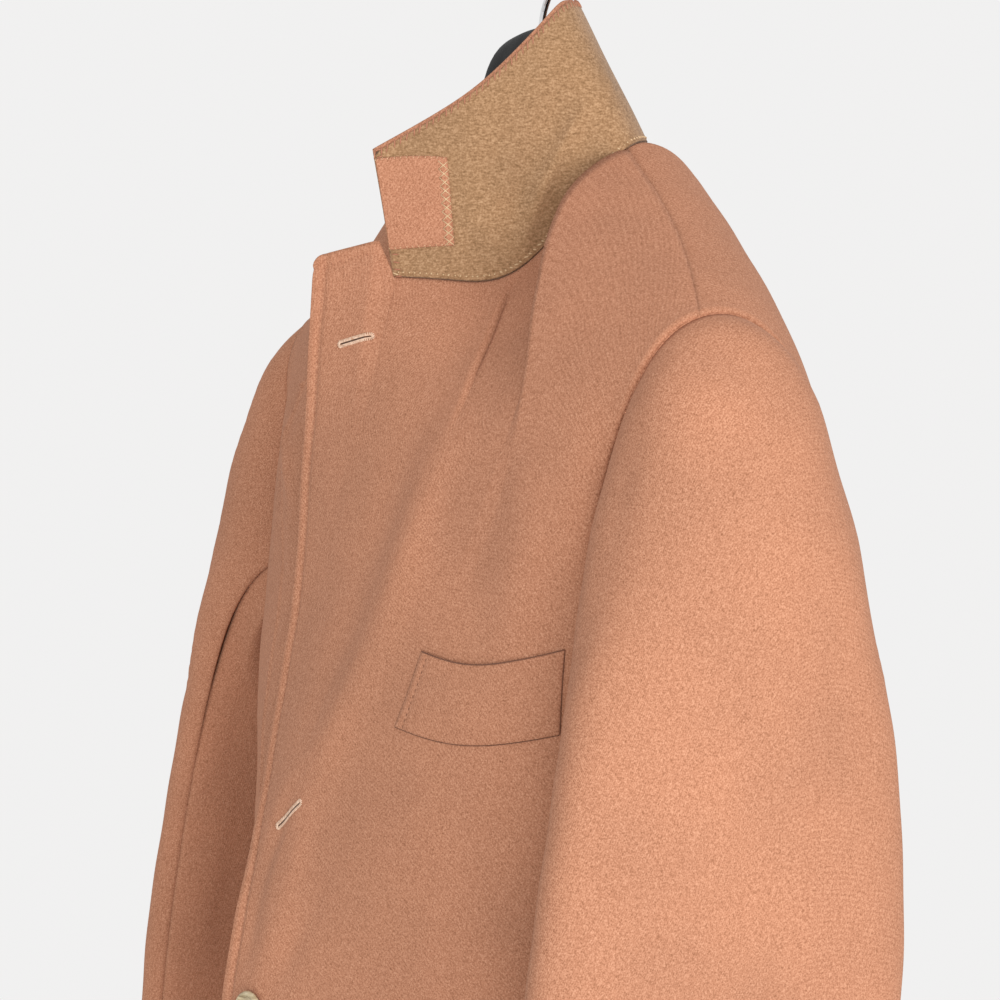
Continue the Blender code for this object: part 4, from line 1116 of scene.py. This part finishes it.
def welt(cloth, dark):
    """The breast pocket's welt, which lies on the left front with soft, stitched edges; dark tubes of
    painted shadow lie along its mouth and its seams.
    """
    start, stop = WELT_ENDS
    before, past, beyond = WELT_MARGINS
    across = np.linspace(start - before, stop + past, WELT_PATCH[0])
    depths = np.linspace(max(WELT_BOTTOM) + beyond, min(WELT_TOP) - beyond, WELT_PATCH[1])
    base = front_grid("left", across, [], list(depths), [])
    t = np.linspace(0, 1, WELT_CELLS[0] + 1)
    rise = np.linspace(0, 1, WELT_CELLS[1] + 1)[:, None]
    low, high = (spline([0.0, 0.5, 1.0], np.array(line)[:, None])(t)[:, 0]
                 for line in (WELT_BOTTOM, WELT_TOP))
    h = low + (high - low) * rise
    u = start + (stop - start) * t - WELT_LEAN * rise
    grid = sample(base, (h - depths[0]) / (depths[1] - depths[0]), (u - across[0]) / (across[1] - across[0]))
    ends = np.minimum(from_edge(grid, "start"), from_edge(grid, "end"))
    edges = np.minimum(ends, from_edge(grid, "first"))
    lift = WELT_STAND * (1 - bell(edges, WELT_ROUND)) - WELT_SINK * bell(ends - STITCH_INSET, STITCH_WIDE)
    made = raised(grid, normals_of(grid), crease_lift("front_left", grid) + lift)
    bottom, top = CLOTH / 2 - WELT_BURIED, CLOTH / 2 + WELT_OVER
    dress(made, bottom, top, cloth, "welt_cloth", "welt_chest")
    # Dark tubes of painted shadow along the mouth (top edge) and the seams (bottom edge and ends); the
    # running stitches are real thread, drawn in the same painted-shadow colour.
    edge_threads("welt_mouth_shadow", [(made, "last")], dark)
    edge_threads("welt_seam_shadow", [(made, side) for side in ("first", "start", "end")], dark)
    thread("welt_stitches", running(thread_line(made, "end", "welt_stitches"), "welt_stitches"), dark)


def tab(cloth):
    """The upper collar's end, turned round the front edge onto the felt; also gives its outside's height."""
    count = TAB_CELLS + 1
    rows, starts, stops = (np.linspace(*ends, count) for ends in (TAB_ROWS, TAB_START, TAB_STOP))
    grid = np.array([collar_grid([row], np.linspace(low, high, count))[:, 0]
                     for row, low, high in zip(rows, starts, stops)]).transpose(1, 0, 2)
    edges = np.minimum(from_edge(grid, "end"), np.minimum(from_edge(grid, "first"), from_edge(grid, "last")))
    made = raised(grid, -normals_of(grid), crease_lift("collar", grid) - TAB_SINK * bell(edges, TAB_ROUND))
    top = SEAM + FELT + TAB_THICK
    dress(made, SEAM + FELT, top, cloth, "tab_cloth", "collar_tab", FELT_RIM)
    return made, top


# ---------------------------------------------------------------- hanger
HANGER_STEPS = 8         # rings from one row of the table to the next
HANGER_AROUND = 40
HANGER_COLUMNS = ("x", "y", "top", "thick", "tall")
HANGER_ROWS = (
    (0.0, -0.1, -6.3, 2.1, 4.3),
    (2.4, -0.1, -6.1, 2.1, 4.2),
    (3.9, -0.1, -5.6, 2.2, 4.2),
    (4.6, 0.0, -4.3, 2.3, 3.9),
    (5.6, 0.5, -1.9, 2.3, 3.8),
    (7.2, 0.9, 0.9, 2.2, 3.3),
    (9.0, 1.1, 0.75, 2.4, 3.2),
    (10.5, 0.7, 1.62, 2.6, 3.1),
    (12.5, 0.2, 2.82, 2.9, 3.0),
    (14.5, -0.4, 4.0, 3.2, 3.0),
    (16.5, -0.9, 5.3, 3.5, 3.0),
    (18.0, -1.4, 6.15, 3.6, 3.2),
    (19.0, -1.8, 7.0, 3.2, 2.6),
    (19.5, -2.0, 8.0, 1.8, 1.2),
)


def hanger(plastic):
    """The hanger's body as one smooth moulding."""
    rows = [named(HANGER_COLUMNS, row) for row in HANGER_ROWS]
    rows = [dict(row, x=-row["x"]) for row in rows[:0:-1]] + rows
    table = np.array([[row[name] for name in HANGER_COLUMNS] for row in rows])
    last = len(table) - 1
    fine = spline(np.arange(last + 1.0), table)(np.linspace(0, last, HANGER_STEPS * last + 1))
    turn = np.linspace(0, 2 * math.pi, HANGER_AROUND, endpoint=False)
    rings = [np.column_stack([np.full(len(turn), x), y + thick / 2 * np.sin(turn),
                              top + tall / 2 * (1 - np.cos(turn))]) for x, y, top, thick, tall in fine]
    made = turned("hanger_body_fine", rings, plastic)
    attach(made, "root")
    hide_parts("hanger_body")


# ---------------------------------------------------------------- thread
# Kinds of thread; the welt's mouth and seams and the buttonhole slits are dark tubes of painted shadow laid
# like
# thread. start and up: how far from the edge and how high above the cloth a stitch starts, stop and end_up:
# where it stops, pitch: from stitch to stitch, reach: how long it is in centimetres, or how far a slanting
# one runs on, in points of the line.
THREAD_COLUMNS = ("radius", "start", "up", "pitch", "reach", "stop", "end_up")
THREADS = {
    "felt_seam_stitches": (0.042, 0.2, 0.012, 0.29, 0.0, -0.2, 0.095),
    "felt_edge_stitches": (0.036, 0.46, 0.027, 0.36, 0.5, 0.1, 0.012),
    "tab_stitches": (0.032, 0.42, 0.042, 0.4, 0.0, -0.05, 0.012),
    "tab_side": (0.032, 0.08, 0.012, 0.3, 0.3, -0.05, -0.108),
    "welt_stitches": (0.024, STITCH_INSET, WELT_OVER, 0.3, 0.14),
    "pick_stitches": (0.036, STITCH_INSET, 0.0, 0.5, 0.12),
    "welt_mouth_shadow": (0.03, -0.02, 0.045),
    "welt_seam_shadow": (0.02, -0.02, 0.03),
    "armhole_seam": (0.06, -SEAM, -0.01),
    "buttonhole_stitches": (0.032,),
    "buttonhole_slit_shadow": (0.03,),
    "button_thread": (0.022,),
}
THREADS = {kind: named(THREAD_COLUMNS, row) for kind, row in THREADS.items()}
STITCH_STRAY = (0.25, 2.4)  # how far slanting stitches stray, in points, and how fast that changes
STITCH_VARY = (0.1, 3.1)    # how much the small ones differ in length, and how fast


def thread(name, paths, finish, kind=None):
    """One piece of threads of a kind, which is the piece's own name if none is given."""
    made = tubes(name, paths, THREADS[kind or name]["radius"], finish)
    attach(made, "root")


def edge_line(made, side, inset, offset):
    """A line of points beside an edge: `inset` from it and `offset` above the middle surface."""
    points = facing(made["lifted"] + made["normals"] * offset, side)
    reach = facing(from_edge(made["lifted"], side), side)
    if inset < 0:
        out = points[0] - points[1]
        return points[0] - inset * out / np.linalg.norm(out, axis=1, keepdims=True)
    row = np.array([np.interp(inset, reach[:, j], np.arange(len(points))) for j in range(points.shape[1])])
    return sample(points, row, np.arange(points.shape[1], dtype=float))


def stations(line, pitch, start=0.0):
    """Broken indexes of a line's points, at even distances along it."""
    length = lengths(line)
    return np.interp(np.arange(start, length[-1], pitch), length, np.arange(len(line)))


def at(line, index):
    """The point of a line at a broken index."""
    index = np.clip(index, 0, len(line) - INSIDE)
    low = int(index)
    return line[low] * (1 - index + low) + line[low + 1] * (index - low)


def thread_line(made, side, kind, up=CLOTH / 2):
    """The line of a kind of thread beside an edge of a piece whose outside is at `up`."""
    return edge_line(made, side, THREADS[kind]["start"], up + THREADS[kind]["up"])


def edge_threads(kind, edges, finish, name=None):
    """Threads laid along edges, each given as a piece and one of its sides."""
    thread(name or kind, [thread_line(made, side, kind) for made, side in edges], finish, kind=kind)


def two_lines(made, side, kind, top):
    """The lines in which a kind of stitch starts and stops, on cloth whose outside is at `top`."""
    row = THREADS[kind]
    return thread_line(made, side, kind, top), edge_line(made, side, row["stop"], top + row["end_up"])


def overcast(made, side, kind, top):
    """Slanting stitches over the edge of a piece."""
    inner, outer = two_lines(made, side, kind, top)
    paths = []
    for k, index in enumerate(stations(inner, THREADS[kind]["pitch"])):
        first = at(inner, index + STITCH_STRAY[0] * math.sin(STITCH_STRAY[1] * k))
        last = at(outer, index + THREADS[kind]["reach"])
        paths.append([first, (2 * first + last) / 3, (first + 2 * last) / 3, last])
    return paths


def running(line, kind):
    """Small stitches of slightly uneven length along a line."""
    row = THREADS[kind]
    paths = []
    for k, index in enumerate(stations(line, row["pitch"], row["pitch"] / 2)):
        here = at(line, index)
        ahead = at(line, min(index + 0.5, len(line) - 1)) - at(line, max(index - 0.5, 0))
        ahead /= np.linalg.norm(ahead)
        half = ahead * row["reach"] * (0.5 + STITCH_VARY[0] * math.sin(STITCH_VARY[1] * k))
        paths.append([here - half, here, here + half])
    return paths


def zigzag(made, side, kind, top):
    """A row of crossed stitches along the edge of a piece."""
    inner, outer = two_lines(made, side, kind, top)
    stops = stations(inner, THREADS[kind]["pitch"])
    paths = []
    for low, high in zip(stops, stops[1:]):
        for line, other in ((inner, outer), (outer, inner)):
            first, last = at(line, low), at(other, high)
            paths.append([first, (first + last) / 2, last])
    return paths


def collar_threads(collar, tab_piece, tab_top, tan, rust):
    """The stitches of the felt's seam and edges, and of the tab."""
    top = SEAM / 2 + FELT
    kind = "felt_seam_stitches"
    thread(kind, overcast(collar, "first", kind, top), tan)
    kind = "felt_edge_stitches"
    paths = [path for side in ("last", "start", "end") for path in overcast(collar, side, kind, top)]
    thread(kind, paths, rust)
    paths = zigzag(tab_piece, "end", "tab_stitches", tab_top)
    for side in ("first", "last"):
        paths += overcast(tab_piece, side, "tab_side", tab_top)
    thread("tab_stitches", paths, tan)


def armhole_seams(by_name, cloth):
    """The turned edge of the body's cloth round each armhole, in which the sleeve is sewn."""
    for side in ("left", "right"):
        edges = [(by_name[f"sleeve_{half}_{side}"], "first") for half in ("top", "under")]
        edge_threads("armhole_seam", edges, cloth, f"armhole_seam_{side}")


def pick_stitches(fronts, rust):
    """The hand stitches that follow the turned edges of fronts and lapels, inside and out."""
    kind = "pick_stitches"
    paths = []
    for made in fronts:
        for up in (CLOTH / 2, -CLOTH / 2):
            paths += running(thread_line(made, "end", kind, up), kind)
            paths += running(thread_line(made, "last", kind, up)[-LAPEL_TOP_CELLS:], kind)
    thread(kind, paths, rust)


# Buttonholes of the left front: x, y and h of the end by the edge, then of the inner end.
BUTTONHOLES = {
    "lapel": (-0.4, -10.6, 9.1, 1.3, -9.8, 8.7),
    "top": (0.1, -14.4, 32.0, 2.1, -13.8, 30.6),
    "middle": (-0.5, -16.0, 40.8, 1.8, -15.6, 40.8),
    "bottom": (-0.6, -15.9, 51.1, 1.7, -15.4, 51.1),
}
HOLE_RIM = 0.17          # half width of a buttonhole's stitching
HOLE_PITCH = 0.085       # from stitch to stitch
# Each of its stitches: distance from the slit's middle, and height above the cloth.
HOLE_STITCH = ((0.03, 0.0), (0.09, 0.03), (HOLE_RIM, 0.025), (HOLE_RIM + 0.03, -0.02))
HOLE_RIDGE = (0.07, 0.012)  # the same for the thread that the stitches go over
SLIT_ENDS = (-0.02, 1.04)  # of the dark slit, as shares of the buttonhole's length


def on_cloth(tree, point, out, lift):
    """The place on a cloth piece straight below a point, and `lift` above it."""
    away = Vector((out[0], out[1], -out[2]))
    place = tree.ray_cast(Vector(world(point + out)), -away)[0]
    return np.array([place.x * 100, place.y * 100, -place.z * 100 - HOOK_TO_NECK]) + out * lift


def way_out(tree, first, last):
    """The mean direction away from the cloth between two points of it."""
    spots = [tree.find_nearest(Vector(world(first + (last - first) * t)))[1] for t in np.linspace(0, 1, 9)]
    mean = sum(spots, Vector()).normalized()
    out = np.array([mean.x, mean.y, -mean.z])
    return out if out[1] < 0 else -out


def buttonhole(name, ends, tree, silk, dark):
    """A worked buttonhole: stitches round a slit, over a ridge of thread, with a dark tube of painted shadow
    along the slit.
    """
    first, last = np.array(ends[:3]), np.array(ends[3:])
    long = np.linalg.norm(last - first)
    ahead = (last - first) / long
    out = way_out(tree, first, last)
    beside = np.cross(out, ahead)
    stitches, ridge = [], []
    half_turn = math.pi * HOLE_RIM
    for place in np.arange(0, 2 * long + 2 * half_turn, HOLE_PITCH):
        if place < long:
            centre, away = first + ahead * place, beside
        elif place < long + half_turn:
            turn = (place - long) / HOLE_RIM
            centre, away = last, beside * math.cos(turn) + ahead * math.sin(turn)
        elif place < 2 * long + half_turn:
            centre, away = last - ahead * (place - long - half_turn), -beside
        else:
            turn = (place - 2 * long - half_turn) / HOLE_RIM
            centre, away = first, -beside * math.cos(turn) - ahead * math.sin(turn)
        stitches.append([on_cloth(tree, centre + away * reach, out, lift) for reach, lift in HOLE_STITCH])
        ridge.append(on_cloth(tree, centre + away * HOLE_RIDGE[0], out, HOLE_RIDGE[1]))
    paths = stitches + [ridge + ridge[:1]]
    thread(f"buttonhole_{name}_stitches", paths, silk, kind="buttonhole_stitches")
    # The slit's shade is painted: a dark tube of painted shadow lies along it.
    slit = [on_cloth(tree, first + ahead * long * t, out, 0.0) for t in np.linspace(*SLIT_ENDS, 12)]
    thread(f"buttonhole_{name}_slit", [slit], dark, kind="buttonhole_slit_shadow")


# ---------------------------------------------------------------- buttons
HOLE_PLACES = ((0.17, 0.17), (-0.17, 0.17), (-0.17, -0.17), (0.17, -0.17))  # of the thread holes
BUTTON_HOLE = 0.11       # radius of each
BUTTON_HOLE_DEPTH = 0.14
BUTTON_FLAT = 0.15       # the holes are sunk only where the profile is higher than this
BUTTON_HOLE_STEEP = 1.6  # how steeply the sides of a hole fall
BUTTON_AROUND = 72
BUTTON_STEPS = (40, 30)  # rings from its back to the flat middle, and within that
BUTTON_PATCH = (0.1, 0.3)  # half size of its seat: share of the lapel, and centimetres down
# The sewing thread between two holes: share of the way, and height above the button's middle.
BUTTON_STITCH = ((0.0, -0.1), (0.12, 0.01), (0.5, 0.035), (0.88, 0.01), (1.0, -0.1))
BUTTON_STRANDS = (-0.03, 0.0, 0.03)  # how far its strands lie beside each other


def button_rings():
    """The turned button's profile as shares of its radius and heights, from the back to the middle."""
    profile = np.array(BUTTON_PROFILE)
    last = len(profile) - 1
    outside = spline(np.arange(last + 1), profile)(np.linspace(0, last, BUTTON_STEPS[0]))
    reach = np.linspace(profile[last, 0], 0.01, BUTTON_STEPS[1])[1:]
    return np.concatenate([outside, np.column_stack([reach, np.full(len(reach), profile[last, 1])])])


def button(name, side, share, depth, stand, horn, silk):
    """A turned button with a raised rim and four holes, sewn on with crossed thread."""
    wide, tall = BUTTON_PATCH
    shares, depths = [share - wide, share, share + wide], [depth + tall, depth, depth - tall]
    patch = front_grid(side, [], shares, depths, [])
    mirror = 1 if side == "left" else -1
    out, centre = normals_of(patch)[1, 1] * [mirror, 1, 1], patch[1, 1] * [mirror, 1, 1]
    up = np.array([0.0, 0.0, -1.0]) + out[2] * out
    up = up / np.linalg.norm(up)
    across = np.cross(up, out)
    base = CLOTH / 2 + stand
    steep = BUTTON_HOLE_STEEP
    turn = np.linspace(0, 2 * math.pi, BUTTON_AROUND, endpoint=False)
    rings = []
    for reach, lift in button_rings():
        x, y = BUTTON / 2 * reach * np.cos(turn), BUTTON / 2 * reach * np.sin(turn)
        sunk = np.zeros(len(turn))
        if lift > BUTTON_FLAT:
            for hole in HOLE_PLACES:
                near = np.hypot(x - hole[0], y - hole[1]) / BUTTON_HOLE
                sunk = np.maximum(sunk, BUTTON_HOLE_DEPTH * np.clip(steep - steep * near**4, 0, 1))
        rings.append(centre + np.outer(base + lift - sunk, out) + np.outer(x, across) + np.outer(y, up))
    made = turned(name + "_fine", rings, horn)
    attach(made, "root")
    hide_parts(name)
    middle = centre + out * (base + BUTTON_PROFILE[-1][1])
    paths = []
    for first, last in ((0, 1), (3, 2)):
        for shift in BUTTON_STRANDS:
            start, stop = (np.array(HOLE_PLACES[k]) + [0, shift] for k in (first, last))
            flat = [start + (stop - start) * t for t, _ in BUTTON_STITCH]
            paths.append([middle + out * lift + across * p[0] + up * p[1]
                          for p, (_, lift) in zip(flat, BUTTON_STITCH)])
    thread(name + "_thread", paths, silk, "button_thread")


def main():
    """Makes everything, in the order in which the pieces lie on each other."""
    cloth = wool("wool_fine", *WOOL)
    felt = felt_cloth("felt_fine", *FELT_SHADES)
    horn = horn_finish("horn_fine", *HORN)
    finishes = {name: plain(name, *row) for name, row in PLAIN.items()}
    tan, rust, silk, dark, painted_seam_shadow, black, bright, pale = finishes.values()
    surfaces = body_surfaces("left") + body_surfaces("right") + [collar_surface()]
    for made in surfaces:
        if made["name"].startswith("front"):
            made["grid"] = round_corner(made["grid"], CORNER_RADIUS)
    share_normals(surfaces)
    for made in surfaces:
        lift = crease_lift(made["name"], made["grid"]) + edge_lift(made)
        base = pull_in(made["grid"], "first", SEAM) if made["name"] == "collar" else made["grid"]
        made["lifted"] = base + made["normals"] * lift[..., None]
    by_name = {made["name"]: made for made in surfaces}
    collar = by_name.pop("collar")
    pieces = {}
    for name, made in by_name.items():
        pieces[name] = dress(made, -CLOTH / 2, CLOTH / 2, cloth, name + "_cloth", name)
    inset = dict(collar, lifted=pull_in(collar["lifted"], "last", FELT_INSET))
    dress(inset, SEAM / 2, SEAM / 2 + FELT, felt, "under_collar_felt", "under_collar",
          FELT_RIM)
    dress(collar, -SEAM / 2 - COLLAR_CLOTH, -SEAM / 2, cloth, "upper_collar_cloth", "upper_collar",
          COLLAR_RIM)
    welt(cloth, painted_seam_shadow)
    tab_piece, tab_top = tab(cloth)
    collar_threads(collar, tab_piece, tab_top, tan, rust)
    pick_stitches([by_name["front_left"], by_name["front_right"]], rust)
    armhole_seams(by_name, cloth)
    mesh = pieces["front_left"].data
    tree = BVHTree.FromPolygons([v.co for v in mesh.vertices], [p.vertices for p in mesh.polygons])
    for name, ends in BUTTONHOLES.items():
        buttonhole(name, ends, tree, silk, dark)
    for name, placed in BUTTONS.items():
        button(name, *placed, horn, silk)
    hanger(black)
    for slot in frame["nodes"]["hanger_hook"].material_slots:
        slot.material = bright
    stage(pale)


# ---------------------------------------------------------------- light and camera
FLOOR_HALF = 2           # metres; the floor is square
FLOOR_Z = -1.6
STUDIO = (0.88, 0.875, 0.872, 1.0)  # colour of the even light from all round
KEY_PLACE = (2.3, -0.5, -0.3)
KEY_AIM = (0.1, -0.05, -0.4)
KEY_SIZE = 1.8           # metres
KEY_POWER = 56.0         # watts
VIEW_TURN = 63.0         # degrees round the object, from its front towards the wearer's left
VIEW_DISTANCE = 1.30
VIEW_HEIGHT = -0.195
VIEW_PAN = 0.9           # degrees by which the camera looks past the object's middle, sideways
VIEW_DIP = 4.36          # and down
FRAME_WIDTH = 36.0       # of the camera's sensor, in millimetres
LENS = 94.43             # and its focal length


def stage(pale):
    """Floor, soft light and the photograph's camera."""
    corners = [(x * FLOOR_HALF, y * FLOOR_HALF, FLOOR_Z) for x, y in ((-1, -1), (1, -1), (1, 1), (-1, 1))]
    floor = bpy.data.meshes.new("floor")
    floor.from_pydata(corners, [], [[0, 1, 2, 3]])
    linked("floor", floor, pale)
    scene = bpy.context.scene
    scene.view_settings.view_transform = "Standard"
    scene.view_settings.look = "None"
    scene.world = bpy.data.worlds.new("studio")
    scene.world.use_nodes = True
    background = scene.world.node_tree.nodes["Background"]
    background.inputs["Color"].default_value = STUDIO
    background.inputs["Strength"].default_value = 1.0
    lamp = bpy.data.lights.new("key", "AREA")
    lamp.size = KEY_SIZE
    lamp.energy = KEY_POWER
    key = bpy.data.objects.new("key", lamp)
    key.location = KEY_PLACE
    key.rotation_euler = (Vector(KEY_AIM) - Vector(KEY_PLACE)).to_track_quat("-Z", "Y").to_euler()
    scene.collection.objects.link(key)
    camera = bpy.data.objects.new("camera", bpy.data.cameras.new("camera"))
    scene.collection.objects.link(camera)
    up = Vector((0.0, 0.0, 1.0))
    turn, pan, dip = (math.radians(angle) for angle in (VIEW_TURN, VIEW_PAN, VIEW_DIP))
    away = Vector((math.sin(turn), -math.cos(turn), 0.0))
    camera.location = away * VIEW_DISTANCE + up * VIEW_HEIGHT
    ahead = -away * math.cos(pan) - (-away).cross(up) * math.sin(pan)
    ahead = ahead * math.cos(dip) - up * math.sin(dip)
    camera.rotation_euler = ahead.to_track_quat("-Z", "Y").to_euler()
    camera.data.sensor_width = FRAME_WIDTH
    camera.data.lens = LENS
    camera.data.clip_start = 0.01
    scene.camera = camera


main()
